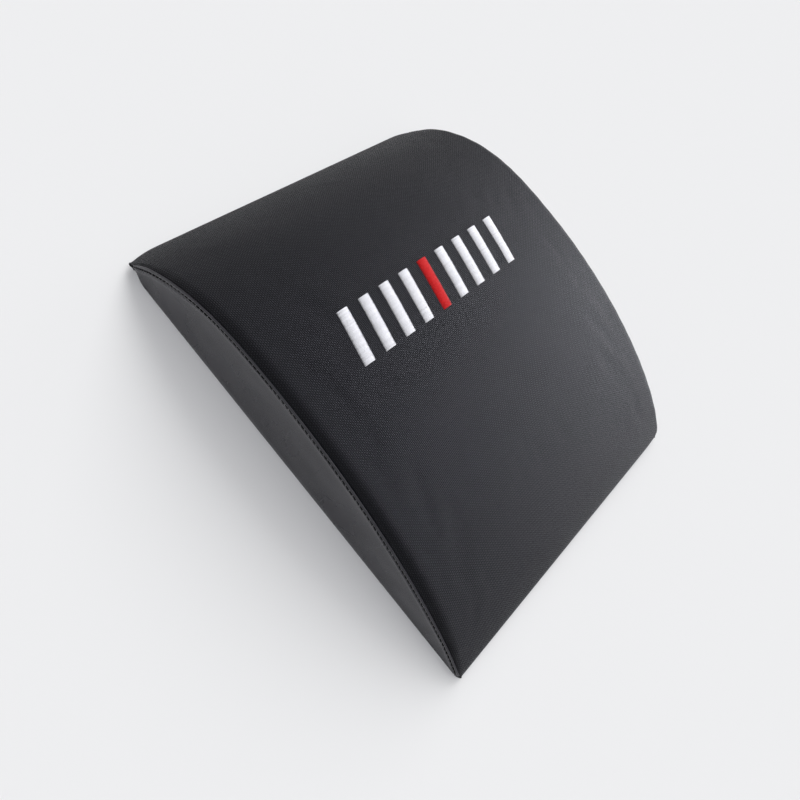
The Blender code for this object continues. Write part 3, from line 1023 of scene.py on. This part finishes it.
@dataclass
class TopCover:
    """Woven panel over the top, rolled over the long edges and both ends."""

    shape: MatShape
    crown_columns: int = 56
    roll_columns: int = 9
    tuck_columns: int = 2
    cover_rows: int = 104
    row_shares: Pair = (0.55, 0.45)
    nose_steps: int = 5
    nose_turn: float = math.pi * 0.8
    hem_fold: float = 4 * MM
    overlap: float = 1 * MM
    end_taper: float = 1.2 * MM
    taper_power: int = 8
    swell_room: float = 0.3 * MM
    lap: float = 1.15 * MM
    tuck_lean: float = 0.2 * MM
    deepest_tuck: float = 5 * MM
    closed_from: float = 8 * MM
    closed_ramp: float = 4 * MM
    ear: float = 1.3 * MM
    ear_length: float = 15 * MM
    small_ear_share: float = 0.15
    hold_across: float = 34 * MM
    hold_along: float = 36 * MM
    swells: tuple[Ripple, Ripple] = (Ripple(0.30 * MM, 80 * MM, 1.3), Ripple(0.05 * MM, 30 * MM, 4.1))
    seam_puckers: Puckers = Puckers(0.16 * MM, 8.5 * MM, 9 * MM, Ripple(2.5, 30 * MM, 9.0))
    end_puckers: Puckers = Puckers(0.14 * MM, 11 * MM, 10 * MM, Ripple(2.0, 40 * MM, 3.0))
    ridge: float = 0.32 * MM
    ridge_pitch: float = 3.1 * MM
    ridge_reach: float = 8 * MM
    ridge_length: float = 30 * MM
    plain_end: float = 6 * MM
    flat_over: float = 318 * MM
    flat_long: float = 425 * MM

    @property
    def columns(self) -> int:
        """Number of cells across the panel."""
        return self.crown_columns + 2 * (self.roll_columns + self.tuck_columns)

    @property
    def cover_reach(self) -> float:
        """How far the open cover reaches along, from the middle."""
        return self.shape.half_length - self.shape.first_row + self.overlap

    @cached_property
    def rows(self) -> list[tuple[float, Optional[float]]]:
        """Rows of the panel from the front hem to the rear one.

        Returns:
            Each row's place along, with its height where it is part of a
            turned-in hem or nose, or None on the open cover.
        """
        half, radius, base = self.shape.half_length, self.shape.nose_radius, self.shape.base_top
        ends = [(half - self.shape.allowance, base), (half - self.hem_fold, base)]
        for step in range(self.nose_steps + 1):
            turn = self.nose_turn * step / self.nose_steps
            ends.append((half - radius + radius * math.sin(turn), base + radius * (1 - math.cos(turn))))
        cover = []
        for step in range(self.cover_rows + 1):
            even = step / self.cover_rows
            crowded = 0.5 - 0.5 * math.cos(math.pi * even)
            share = self.row_shares[0] * even + self.row_shares[1] * crowded
            cover.append((-self.cover_reach + 2 * self.cover_reach * share, None))
        return [(-y, z) for y, z in ends] + cover + ends[::-1]

    def section(self, column: int, y: float) -> Pair:
        """Find a point of a row on the open cover.

        Args:
            column: The point's column.
            y: The row's place along.

        Returns:
            Its place across and its height.
        """
        shape = self.shape
        steps = column - self.columns / 2
        side = math.copysign(1, steps)
        steps = abs(steps)
        crown = self.crown_columns / 2
        seam, rise = shape.seam(y), shape.rise(y)
        edge = shape.edge(y) + self.lap
        if steps <= crown:
            share = steps / crown
            return side * edge * share, seam + rise + shape.crown_rise * shape.bow(y) * (1 - share**2)
        run = shape.run(y) + self.ear_at(side, y)
        turn = min(1.0, (steps - crown) / self.roll_columns) * math.pi / 2
        tuck = max(0.0, steps - crown - self.roll_columns) / self.tuck_columns
        closing = shape.near_end(y, self.closed_from, self.closed_ramp)
        depth = max(0.0, min(self.deepest_tuck, shape.turned_in(y))) * (1 - closing)
        depth += (seam - shape.base_top) * closing
        across = edge + run * math.sin(turn) - self.tuck_lean * tuck
        return side * across, seam + rise * math.cos(turn) - depth * tuck

    def ear_at(self, side: float, y: float) -> float:
        """How far the panel's corner stands out over a side, most at the rear left."""
        strength = 1.0 if side < 0 < y else self.small_ear_share
        return self.ear * strength * self.shape.near_end(y, self.ear_length, self.ear_length)

    def point(self, column: int, row: int) -> Point:
        """Find a point of the panel.

        Args:
            column: Its column.
            row: Its row.

        Returns:
            Its place.
        """
        shape = self.shape
        y, height = self.rows[row]
        if height is None:
            x, z = self.section(column, y)
            return shape.settle(x, y, z)
        x, _ = self.section(column, math.copysign(self.cover_reach, y))
        outer = max(0.0, abs(column - self.columns / 2) - self.crown_columns / 2 - self.roll_columns)
        past = max(0.0, (abs(y) - self.cover_reach) / (shape.half_length - self.cover_reach))
        outermost = min(1.0, abs(x) / shape.half_width) ** self.taper_power
        x -= math.copysign(self.end_taper * past**2, x) * outermost
        return shape.settle(x, y, height + (shape.base_top - height) * (outer / self.tuck_columns))

    def wrinkle(self, x: float, y: float) -> float:
        """Small rises and dips of the cloth.

        Args:
            x: Place across.
            y: Place along.

        Returns:
            The rise along the surface's normal.
        """
        from_seam = self.shape.half_width - abs(x)
        from_end = self.shape.half_length - abs(y)
        slow = sum(swell.at(x, y) for swell in self.swells)
        ridges = math.cos(math.tau * from_seam / self.ridge_pitch) * fade(from_seam, self.ridge_reach)
        ridges *= self.ridge * fade(self.shape.half_length - y, self.ridge_length)
        near_seam = self.seam_puckers.at(x, y, y, from_seam) + ridges
        near_end = self.end_puckers.at(x, y, x, from_end)
        return (slow + near_seam + near_end) * smooth_step(from_end / self.plain_end)

    def held(self, place: Vector) -> float:
        """How firmly the seams and hems hold a point.

        Args:
            place: The point.

        Returns:
            A share, 1 at the seams and hems.
        """
        from_seam = self.shape.half_width - self.shape.side_stack - abs(place.x)
        from_end = self.shape.half_length - abs(place.y)
        return 1 - smooth_step(min(from_seam / self.hold_across, from_end / self.hold_along))

    def build(self) -> None:
        """Make the panel, settle it, and add its small creases."""
        cells = (self.columns, len(self.rows) - 1)
        piece = cloth_piece("top_cover", cells, self.point, (0, 0, 1), Finishes.WOVEN)
        for vert in piece.data.vertices:
            vert.co -= vert.normal * self.swell_room * (1 - self.held(vert.co))
        ClothSettling().run(piece, self.held)
        normals = [vert.normal.copy() for vert in piece.data.vertices]
        for vert, normal in zip(piece.data.vertices, normals):
            vert.co += normal * self.wrinkle(vert.co.x, vert.co.y)
        soften = piece.modifiers.new("soft cloth", "SUBSURF")
        soften.levels = soften.render_levels = 1
        thicken(piece, CLOTH)
        finish_piece(piece, ["top_panel"])


@dataclass
class SideCover:
    """Smooth crescent on one side, folded at its seam and drawn in by its top-stitching."""

    shape: MatShape
    side: Side
    cell: float = 1.0 * MM
    bead_width: float = 0.90 * MM
    bead_inner: float = 0.35 * MM
    bead_height: float = 1.3 * MM
    bead_share: float = 0.30
    bead_inset: float = 0.55 * MM
    fold_rise: float = 0.3 * MM
    corner: float = 1.4 * MM
    corner_share: float = 0.28
    foot: float = 6.5 * MM
    least_foot: float = 1.7 * MM
    end_rooms: Pair = (3.4 * MM, 6.0 * MM)
    tuck_depths: Pair = (0.5 * MM, 4 * MM)
    steps: tuple[int, ...] = (2, 4, 12, 12, 6, 2)
    stitch_drop: float = 3.0 * MM
    stitch_pitch: float = 4.0 * MM
    drop_share: float = 0.42
    rear_extra_share: float = 0.4
    rear_start: float = 95 * MM
    rear_ramp: float = 60 * MM
    band_drops: float = 2.2
    strip_from: float = 1.5 * MM
    strip_ramp: float = 1.1 * MM
    groove: float = 0.65 * MM
    groove_width: float = 0.85 * MM
    tightness: Pair = (0.70, 0.30)
    pillow: float = 0.20 * MM
    pillow_drops: float = 1.9
    pillow_width: float = 1.5 * MM
    pucker: float = 0.24 * MM
    pucker_reach: float = 2.0 * MM
    fold_waver: Ripple = Ripple(1.2, 25 * MM, 6.0)
    waves: tuple[Ripple, Ripple] = (Ripple(0.9 * MM, 44 * MM, 2.0, 0.6), Ripple(0.22 * MM, 17 * MM, 7.0))
    gathers: Ripple = Ripple(0.55 * MM, 13 * MM, 11.0, 0.35)
    gather_from: float = 75 * MM
    gather_ramp: float = 45 * MM
    least_face: float = 1 * MM
    least_low_face: float = 0.1 * MM
    hollow: float = 0.9 * MM
    hollow_full_height: float = 50 * MM
    wave_full_height: float = 14 * MM
    wave_power: float = 0.6
    flat_size: Pair = (84 * MM, 390 * MM)
    seam_samples: int = 1521

    def drop(self, y: float) -> float:
        """Depth of the stitch line below the seam, less where the side is low."""
        wider = 1 + self.rear_extra_share * smooth_step((y - self.rear_start) / self.rear_ramp)
        return min(self.stitch_drop * wider, self.drop_share * (self.shape.seam(y) - self.shape.base_top))

    def swell(self, y: float, below: float) -> float:
        """How far the cloth stands out beside its stitching.

        Args:
            y: Place along.
            below: Depth below the seam.

        Returns:
            The distance.
        """
        drop = self.drop(y)
        scale = drop / self.stitch_drop
        phase = math.tau * self.arc(y) / self.stitch_pitch
        tight = self.tightness[0] + self.tightness[1] * math.cos(phase)
        strip = 1 - smooth_step((below - drop + self.strip_from * scale) / (self.strip_ramp * scale))
        crest = (self.bead_width - self.bead_inset) * strip
        groove = self.groove * tight * bump_at(below, drop, self.groove_width * scale)
        pillow = self.pillow * bump_at(below, drop * self.pillow_drops, self.pillow_width)
        folds = math.sin(phase + self.fold_waver.at(y, below))
        pucker = self.pucker * folds * fade(abs(below - drop), self.pucker_reach)
        return crest + scale * (pillow + pucker - groove)

    def wave(self, y: float, z: float) -> float:
        """Soft waves of the cloth over the foam, with gathers towards its ends.

        Args:
            y: Place along.
            z: Height.

        Returns:
            How far it stands out.
        """
        rises = sum(wave.at(y, z, self.side.value) for wave in self.waves)
        near_end = self.shape.near_end(y, self.gather_from, self.gather_ramp)
        return rises + self.gathers.at(y, z, self.side.value) * near_end

    @cached_property
    def seam_line(self) -> tuple[np.ndarray, np.ndarray]:
        """Measure the seam from its front end.

        Returns:
            Places along the mat, and the seam's length up to each.
        """
        half = self.shape.half_length
        places = np.linspace(-half, half, self.seam_samples)
        heights = np.array([self.shape.seam(y) for y in places])
        steps = np.hypot(np.diff(places), np.diff(heights))
        return places, np.concatenate([[0.0], np.cumsum(steps)])

    def arc(self, y: float) -> float:
        """Length of the seam from its front end to a place."""
        return float(np.interp(y, *self.seam_line))

    def face(self, y: float, low: float, shoulder: float) -> list[Pair]:
        """Find the points of the section's upright face.

        Args:
            y: Place along.
            low: Height where the face starts.
            shoulder: Height where it ends.

        Returns:
            Their places across and heights.
        """
        seam, tall = self.shape.seam(y), max(shoulder - low, self.least_face)
        band = max(low + self.least_low_face, shoulder - self.band_drops * self.drop(y))
        low_steps, band_steps = self.steps[2:4]
        points = []
        for z in evenly(low, band, low_steps) + evenly(band, shoulder, band_steps):
            arch = math.sin(math.pi * (z - low) / tall)
            drawn = self.hollow * min(1.0, tall / self.hollow_full_height) * arch
            waves = self.wave(y, z) * arch**self.wave_power * min(1.0, tall / self.wave_full_height)
            points.append((self.shape.half_width - drawn + waves + self.swell(y, seam - z), z))
        return points

    def section(self, y: float) -> list[Point]:
        """Find the points of a section, from the turned-in foot to the tuck at the seam.

        Args:
            y: Place along.

        Returns:
            The points, on this side of the mat.
        """
        shape = self.shape
        half, base, seam = shape.half_width, shape.base_top, shape.seam(y)
        foot_steps, corner_steps, *_, fold_steps, tuck_steps = self.steps
        corner = min(self.corner, self.corner_share * (seam - base))
        high = min(self.bead_height, self.bead_share * (seam - base))
        shoulder = seam - high
        foot = min(self.foot, max(self.least_foot, shape.half_length - abs(y) - shape.allowance))
        points = [(x, base) for x in evenly(half - foot, half - corner, foot_steps)]
        for turn in evenly(0.0, math.pi / 2, corner_steps):
            points.append((half - corner * (1 - math.sin(turn)), base + corner * (1 - math.cos(turn))))
        points += self.face(y, base + corner, shoulder)
        centre = half - self.bead_inset
        reach = points[-1][0] - centre if high < self.bead_height else self.bead_width
        for turn in evenly(0.0, math.pi, fold_steps) + [math.pi]:
            wide = reach if turn < math.pi / 2 else self.bead_inner
            up = (high + self.fold_rise) * math.sin(turn)
            points.append((centre + wide * math.cos(turn), shoulder + up))
        depth = max(self.tuck_depths[0], min(self.tuck_depths[1], shape.turned_in(y)))
        for step in range(1, tuck_steps + 1):
            points.append((centre - self.bead_inner, shoulder - depth * step / tuck_steps))
        return [(self.side.value * x, y, z) for x, z in points]

    @cached_property
    def sections(self) -> list[list[Point]]:
        """Sections from the front end to the rear one.

        Returns:
            The points of each.
        """
        first = -self.shape.half_length + self.end_rooms[0]
        last = self.shape.half_length - self.end_rooms[1]
        return [self.section(y) for y in evenly(first, last, round((last - first) / self.cell)) + [last]]

    def point(self, column: int, row: int) -> Point:
        """Place of a point of the crescent."""
        return self.shape.settle(*self.sections[row][column])

    def cut_area(self) -> float:
        """Area of the crescent as it was cut, from its sections."""
        pairs = zip(self.sections, self.sections[1:])
        return sum(sum(map(math.dist, row, row[1:])) * (after[0][1] - row[0][1]) for row, after in pairs)

    def build(self) -> None:
        """Make the crescent and let it stand for its CAD solid."""
        label = self.side.name.lower()
        cells = (sum(self.steps), len(self.sections) - 1)
        outward = (self.side.value, 0, 0)
        piece = cloth_piece(f"side_cover_{label}", cells, self.point, outward, Finishes.VINYL)
        thicken(piece, CLOTH)
        area = self.cut_area()
        finish_piece(piece, [f"side_panel_{label}"])


class Sewing:
    """Adds threads, copies of one round thread, to a piece."""

    template: Optional[bpy.types.Mesh] = None

    def __init__(self, seed: int) -> None:
        """Start an empty piece.

        Args:
            seed: Seed of the small differences between threads.
        """
        self.bm = bmesh.new()
        self.shade = self.bm.verts.layers.float.new("shade")
        self.draws = random.Random(seed)
        if Sewing.template is None:
            Sewing.template = self.round_thread()

    @staticmethod
    def round_thread() -> bpy.types.Mesh:
        """Shape the thread that every stitch copies.

        Returns:
            A rod from -1 to 1 with blunt round ends.
        """
        blunt_power, on_axis = 0.8, 1e-6
        bm = bmesh.new()
        bmesh.ops.create_uvsphere(bm, u_segments=6, v_segments=7, radius=1.0)
        for vert in bm.verts:
            reach = math.copysign(abs(vert.co.z) ** blunt_power, vert.co.z)
            full = math.sqrt(max(0.0, 1 - reach**4))
            from_axis = math.hypot(vert.co.x, vert.co.y)
            if from_axis > on_axis:
                vert.co.x *= full / from_axis
                vert.co.y *= full / from_axis
            vert.co.z = reach
        made = bpy.data.meshes.new("round_thread")
        bm.to_mesh(made)
        bm.free()
        return made

    def lay(self, start: Vector, end: Vector, thick: float, up: Vector, rise: float = 0.0) -> None:
        """Add one thread that dips into the cloth at both of its ends.

        Args:
            start: Place where the thread comes up.
            end: Place where it goes down.
            thick: Its thickness.
            up: Direction away from the cloth.
            rise: How far its middle stands above its ends.
        """
        along, middle = end - start, (start + end) / 2
        forward = along.normalized()
        sideways = up.cross(forward).normalized()
        height = forward.cross(sideways)
        first = len(self.bm.verts)
        self.bm.from_mesh(Sewing.template)
        self.bm.verts.ensure_lookup_table()
        own = self.draws.random()
        for vert in self.bm.verts[first:]:
            x, y, reach = vert.co
            arch = rise * (1 - reach**2)
            vert.co = middle + forward * (reach * along.length / 2) + sideways * (x * thick / 2)
            vert.co += height * (y * thick / 2 + arch)
            vert[self.shade] = own


@dataclass
class SideStitching:
    """Top-stitching that follows the seam of one side."""

    shape: MatShape
    cover: SideCover
    # The threads are drawn thicker than real top-stitching; their black over the extra width is painted
    # shade of the stitch holes and the groove beside them.
    thick: float = 1.35 * MM
    share: float = 0.82
    stand: float = 0.50 * MM
    ends_left: tuple[int, int] = (2, 1)
    seed: int = 21

    def end_point(self, stitches: float) -> Vector:
        """Find a place in the groove.

        Args:
            stitches: Number of stitches up to it, from the front end.

        Returns:
            The place.
        """
        cover = self.cover
        places, lengths = cover.seam_line
        y = float(np.interp(stitches * cover.stitch_pitch, lengths, places))
        drop = cover.drop(y)
        x = self.shape.half_width + cover.swell(y, drop) + self.stand
        return Vector(self.shape.settle(cover.side.value * x, y, self.shape.seam(y) - drop))

    def build(self) -> None:
        """Lay one stitch in each dip of the groove."""
        sewing = Sewing(self.seed)
        outward = Vector((self.cover.side.value, 0, 0))
        count = int(self.cover.seam_line[1][-1] / self.cover.stitch_pitch)
        for number in range(self.ends_left[0], count - self.ends_left[1]):
            start = self.end_point(number + 0.5 - self.share / 2)
            stop = self.end_point(number + 0.5 + self.share / 2)
            sewing.lay(start, stop, self.thick, outward)
        name = f"side_stitching_{self.cover.side.name.lower()}"
        finish_piece(object_from(name, sewing.bm, Finishes.SEWING.material))


@dataclass
class BaseCover:
    """One of the two base panels, with its hem raised beside the zip."""

    shape: MatShape
    end: End
    floor_depth: float = 4.4 * MM
    floor_half: float = 11 * MM
    mouth_half: float = 16 * MM
    hem_edge: float = 6 * MM
    closed_edge: float = 0.15 * MM
    length_half: float = 147.4 * MM
    ramp: float = 6 * MM
    edge: float = 0.9 * MM
    corner: float = 9 * MM
    corner_slant: float = 3 * MM
    slant_reach: float = 27 * MM
    columns: tuple[int, int, int] = (14, 10, 3)
    floor_rows: int = 3
    wall_rows: int = 10
    rises: Ripple = Ripple(0.10 * MM, 45 * MM, 5.0)
    plain_edge: float = 20 * MM

    @property
    def outer_rows(self) -> int:
        """Number of rows from the channel to the end of the mat."""
        return 30 if self.end is End.FRONT else 8

    @cached_property
    def across(self) -> list[float]:
        """Places of the columns, crowded where the channel ends.

        Returns:
            The places, from left to right.
        """
        inner, ramp, outer = self.columns
        flat, edge = self.length_half - self.ramp, self.shape.half_width - self.edge
        half = evenly(0.0, flat, inner) + evenly(flat, self.length_half, ramp)
        half += evenly(self.length_half, edge, outer) + [edge]
        return [-place for place in reversed(half[1:])] + half

    def deep(self, x: float) -> float:
        """Share of its full depth that the channel has at a place across."""
        return smooth_step((self.length_half - abs(x)) / self.ramp)

    def plain(self, x: float, row: int) -> Point:
        """Find a point of the panel as it would lie on a level floor.

        Args:
            x: Place across.
            row: Its row, counted from the zip.

        Returns:
            Its place.
        """
        deep, sign = self.deep(x), self.end.value
        hem = self.closed_edge + (self.hem_edge - self.closed_edge) * deep
        wall = self.mouth_half - self.floor_half
        if row <= self.floor_rows:
            away = hem + (self.floor_half - hem) * row / self.floor_rows
            return x, ZIP_Y + sign * away, self.floor_depth * deep
        row -= self.floor_rows
        if row <= self.wall_rows:
            away = self.floor_half + wall * row / self.wall_rows
            rise = smooth_step((self.mouth_half - away) / wall)
            return x, ZIP_Y + sign * away, self.floor_depth * deep * rise
        outer = sign * (self.shape.half_length - self.edge)
        start = ZIP_Y + sign * self.mouth_half
        return x, start + (outer - start) * (row - self.wall_rows) / self.outer_rows, 0.0

    def point(self, column: int, row: int) -> Point:
        """Find a point of the panel, with the cloth's small rises and slanted corners.

        Args:
            column: Its column.
            row: Its row.

        Returns:
            Its place.
        """
        shape = self.shape
        x, y, z = self.plain(self.across[column], row)
        inside = min(shape.half_width - abs(x), shape.half_length - abs(y), self.plain_edge)
        lift = max(0.0, self.rises.at(x, y)) * max(0.0, inside / self.plain_edge)
        near_side = smooth_step((abs(x) - shape.half_width + self.slant_reach) / self.slant_reach)
        slant = self.corner_slant * shape.near_end(y, self.corner, self.corner) * near_side
        return shape.settle(x - math.copysign(slant, x), y, z + lift)

    def build(self) -> None:
        """Make the panel and let it stand for its CAD solid."""
        label = self.end.name.lower()
        cells = (len(self.across) - 1, self.floor_rows + self.wall_rows + self.outer_rows)
        piece = cloth_piece(f"base_cover_{label}", cells, self.point, (0, 0, -1), Finishes.BASE)
        thicken(piece, CLOTH)
        finish_piece(piece, [f"base_panel_{label}"])


@dataclass
class ZipTape:
    """One woven tape of the zip, sewn to its panel's hem and bent down at its ends."""

    cover: BaseCover
    cells: tuple[int, int] = (140, 16)
    thickness: float = 0.45 * MM
    height: float = 5.56 * MM
    inner: float = 3.0 * MM
    outer: float = 15 * MM
    length_half: float = 146.4 * MM
    bend: float = 1.4 * MM
    meeting_gap: float = 0.25 * MM
    meeting_run: float = 7 * MM
    ripple: Ripple = Ripple(0.05 * MM, 9 * MM, 2.0)

    def inner_edge(self, x: float) -> float:
        """How far the tape's edge stays from the middle; beyond the chain the two tapes meet.

        Args:
            x: Place across.

        Returns:
            The distance.
        """
        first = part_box("zip_top_stop_front")[0][0]
        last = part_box("zip_bottom_stop")[1][0]
        past = max(first - x, x - last)
        return self.inner + (self.meeting_gap - self.inner) * smooth_step(past / self.meeting_run)

    def point(self, column: int, row: int) -> Point:
        """Find a point of the tape.

        Args:
            column: Its column.
            row: Its row, counted from the teeth.

        Returns:
            Its place.
        """
        x = -self.length_half + 2 * self.length_half * column / self.cells[0]
        inner = self.inner_edge(x)
        away = inner + (self.outer - inner) * row / self.cells[1]
        sunk = self.cover.floor_depth * (1 - self.cover.deep(x))
        return x, ZIP_Y + self.cover.end.value * away, self.height - sunk + self.ripple.at(x, away)

    def build(self) -> None:
        """Make the tape and let it stand for its CAD solid."""
        label = self.cover.end.name.lower()
        piece = cloth_piece(f"zip_tape_cloth_{label}", self.cells, self.point, (0, 0, -1), Finishes.TAPE)
        thicken(piece, self.thickness)
        finish_piece(piece, [f"zip_tape_{label}"])


@dataclass
class HemStitching:
    """Rows of stitches that hold each hem on its tape, with bars at the zip's ends."""

    cover: BaseCover
    thick: float = 0.5 * MM
    pitch: float = 3.5 * MM
    share: float = 0.8
    lead_share: float = 0.1
    from_edge: float = 2.2 * MM
    sunk: float = 0.08 * MM
    row_end: float = 1 * MM
    bar_stitches: int = 7
    bar_from: float = 1.2 * MM
    bar_pitch: float = 0.45 * MM
    bar_half: float = 5 * MM
    bar_height: float = -0.02 * MM
    off_floor: float = 0.05 * MM
    seed: int = 5

    def build(self) -> None:
        """Lay the stitches of both rows and of the two bars."""
        sewing, cover, down = Sewing(self.seed), self.cover, Vector((0, 0, -1))
        reach = cover.length_half - cover.ramp - self.row_end
        height = cover.floor_depth - self.sunk
        for sign in (-1, 1):
            y = ZIP_Y + sign * (cover.hem_edge + self.from_edge)
            for number in range(int(2 * reach / self.pitch)):
                start = Vector((-reach + (number + self.lead_share) * self.pitch, y, height))
                sewing.lay(start, start + Vector((self.pitch * self.share, 0, 0)), self.thick, down)
        across = Vector((0, 2 * self.bar_half, 0))
        for sign in (-1, 1):
            for number in range(self.bar_stitches):
                x = sign * (cover.length_half + self.bar_from + self.bar_pitch * number)
                start = Vector((x, ZIP_Y - self.bar_half, self.bar_height))
                sewing.lay(start, start + across, self.thick, down)
        for vert in sewing.bm.verts:
            vert.co.z = max(vert.co.z, self.off_floor)
        piece = object_from("zip_hem_stitching", sewing.bm, Finishes.SEWING.material)
        finish_piece(piece)


@dataclass
class EmbroideredBars:
    """A plain row of slanted satin-stitched bars on the top panel."""

    shape: MatShape
    count: int = 9
    red: int = 4
    low_y: float = 21.5 * MM
    high_y: float = 62.5 * MM
    left_x: float = -98 * MM
    pitch: float = 20.7 * MM
    bar_width: float = 10.5 * MM
    slant: float = 9 * MM
    thread: float = 0.42 * MM
    thread_shares: Pair = (0.92, 1.08)
    spacing: float = 0.37 * MM
    ragged: float = 0.18 * MM
    lean: float = 0.05 * MM
    foot: float = 0.05 * MM
    rise: float = 0.75 * MM
    seed: int = 100

    def on_top(self, x: float, y: float) -> Vector:
        """Place where a thread meets the top surface."""
        return Vector((x, y, self.shape.top(x, y))) + self.shape.normal(x, y) * self.foot

    def bars(self, name: str, numbers: Sequence[int], finish: Finishes) -> None:
        """Sew some of the bars in one colour.

        Args:
            name: The piece's name.
            numbers: Which bars.
            finish: Their thread.
        """
        sewing = Sewing(self.seed + len(numbers))
        uniform = sewing.draws.uniform
        height = self.high_y - self.low_y
        rows = int(height / self.spacing)
        for number in numbers:
            for row in range(rows):
                share = (row + 0.5) / rows
                y = self.low_y + height * share
                x = self.left_x + number * self.pitch + self.slant * share
                start = x + uniform(-self.ragged, self.ragged)
                stop = x + self.bar_width + uniform(-self.ragged, self.ragged)
                lean = uniform(-self.lean, self.lean)
                thick = self.thread * uniform(*self.thread_shares)
                ends = self.on_top(start, y - lean), self.on_top(stop, y + lean)
                sewing.lay(*ends, thick, self.shape.normal(x, y), rise=self.rise)
        finish_piece(object_from(name, sewing.bm, finish.material))

    def build(self) -> None:
        """Sew the pale bars and the red one."""
        pale = [number for number in range(self.count) if number != self.red]
        self.bars("embroidered_bars_white", pale, Finishes.WHITE)
        self.bars("embroidered_bar_red", [self.red], Finishes.RED)


class ZipHardware:
    """The CAD nodes of the zip that keep their shape, by their finish and slot."""

    TEETH = ("zip_teeth_front", "zip_teeth_rear")
    METAL = ("zip_slider", "zip_pull", "zip_bottom_stop", "zip_top_stop_front", "zip_top_stop_rear")
    SETS = ((TEETH, Finishes.TEETH, "zip_teeth"), (METAL, Finishes.METAL, "dark_metal"))

    def dress(self) -> None:
        """Put each finish on its nodes."""
        for names, finish, slot in self.SETS:
            for name in names:
                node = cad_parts[name]
                node.data.materials.clear()
                node.data.materials.append(finish.material)
                LOG.info("%s: %s", name, finish.value.name)


# Studio


@dataclass(frozen=True)
class Lamp:
    """One large soft lamp, far away; bearing runs from +X round to +Y, in degrees like height."""

    name: str
    bearing: float
    height: float
    power: float
    shadow: bool = True
    colour: Point = (1.0, 1.0, 1.0)
    spread: float = 42.0
    distance: float = 2.0

    def build(self) -> None:
        """Hang the lamp in its direction."""
        data = bpy.data.lights.new(self.name, "SUN")
        data.energy = self.power
        data.color = self.colour
        data.angle = math.radians(self.spread)
        data.use_shadow = self.shadow
        lamp = bpy.data.objects.new(self.name, data)
        bpy.context.scene.collection.objects.link(lamp)
        turn, lift = math.radians(self.bearing), math.radians(self.height)
        towards = Vector((math.cos(turn) * math.cos(lift), math.sin(turn) * math.cos(lift), math.sin(lift)))
        lamp.location = towards * self.distance
        lamp.rotation_euler = (-towards).to_track_quat("-Z", "Y").to_euler()


@dataclass(frozen=True)
class Studio:
    """Plain pale floor, soft light, and the camera of the photograph."""

    grey: float = 0.855
    surround: float = 0.23
    floor_half: float = 6.0
    floor_drop: float = 0.05 * MM
    focal_pixels: float = 656.644
    picture_pixels: float = 800.0
    sensor: float = 36.0
    nearest: float = 10 * MM
    eye: Point = (-329.378 * MM, -13.415 * MM, 443.238 * MM)
    right: Point = (0.659141, -0.626248, 0.416350)
    down: Point = (-0.524147, -0.779585, -0.342807)
    ahead: Point = (0.539262, 0.007730, -0.842102)
    lamps: tuple[Lamp, ...] = (
        Lamp("low_side_lamp", 340.0, 10.0, 5.0, shadow=False, colour=(0.94, 0.95, 1.0)),
        Lamp("key_lamp", 34.0, 38.0, 1.55),
        Lamp("high_lamp", 330.0, 70.0, 0.62),
    )

    def floor(self) -> None:
        """Lay the floor, which can be seen through from below."""
        coat = Coat("pale_floor")
        coat.set(Base_Color=(*(self.grey,) * 3, 1.0), Roughness=1.0, Specular_IOR_Level=0.0)
        below = coat.add("NewGeometry").outputs["Backfacing"]
        clear = coat.add("BsdfTransparent").outputs[0]
        mixed = coat.add("MixShader", {0: below, 1: coat.shader.outputs[0], 2: clear})
        coat.feed(coat.tree.nodes["Material Output"].inputs["Surface"], mixed.outputs[0])
        bm = bmesh.new()
        bmesh.ops.create_grid(bm, x_segments=2, y_segments=2, size=self.floor_half)
        floor = object_from("floor", bm, coat.material)
        floor.location.z = -self.floor_drop

    def world(self) -> None:
        """Light the mat from all round, with the plain backdrop behind it."""
        world = bpy.data.worlds.new("studio")
        bpy.context.scene.world = world
        world.use_nodes = True
        wiring = Wiring(world.node_tree)
        path = wiring.add("LightPath").outputs
        mirrored = wiring.math("MAXIMUM", path["Is Glossy Ray"], path["Is Transmission Ray"])
        seen = wiring.math("MAXIMUM", path["Is Camera Ray"], mirrored)
        back = world.node_tree.nodes["Background"].inputs
        back["Color"].default_value = (1.0, 1.0, 1.0, 1.0)
        wiring.feed(back["Strength"], wiring.mix_value(seen, self.surround, self.grey))

    def camera(self) -> None:
        """Set the camera where the photograph was taken from."""
        data = bpy.data.cameras.new("photograph")
        data.sensor_width = self.sensor
        data.lens = self.sensor * self.focal_pixels / self.picture_pixels
        data.clip_start = self.nearest
        camera = bpy.data.objects.new("photograph", data)
        bpy.context.scene.collection.objects.link(camera)
        axes = (Vector(self.right), -Vector(self.down), -Vector(self.ahead), Vector(self.eye))
        turned = [[axis[row] for axis in axes] for row in range(3)]
        camera.matrix_world = Matrix(turned + [[0, 0, 0, 1]])
        bpy.context.scene.camera = camera

    def build(self) -> None:
        """Make the whole studio."""
        self.camera()
        self.floor()
        self.world()
        for lamp in self.lamps:
            lamp.build()
        bpy.context.scene.view_settings.view_transform = "Standard"


def main() -> None:
    """Build the studio and every piece."""
    logging.basicConfig(level=logging.INFO, format="%(message)s")
    Effects.build()
    Studio().build()
    FoamBlock(SHAPE).build()
    TopCover(SHAPE).build()
    for side in Side:
        cover = SideCover(SHAPE, side)
        cover.build()
        SideStitching(SHAPE, cover).build()
    bases = [BaseCover(SHAPE, end) for end in End]
    for base in bases:
        base.build()
    for base in bases:
        ZipTape(base).build()
    HemStitching(bases[0]).build()
    EmbroideredBars(SHAPE).build()
    ZipHardware().dress()


if __name__ == "__main__":
    main()
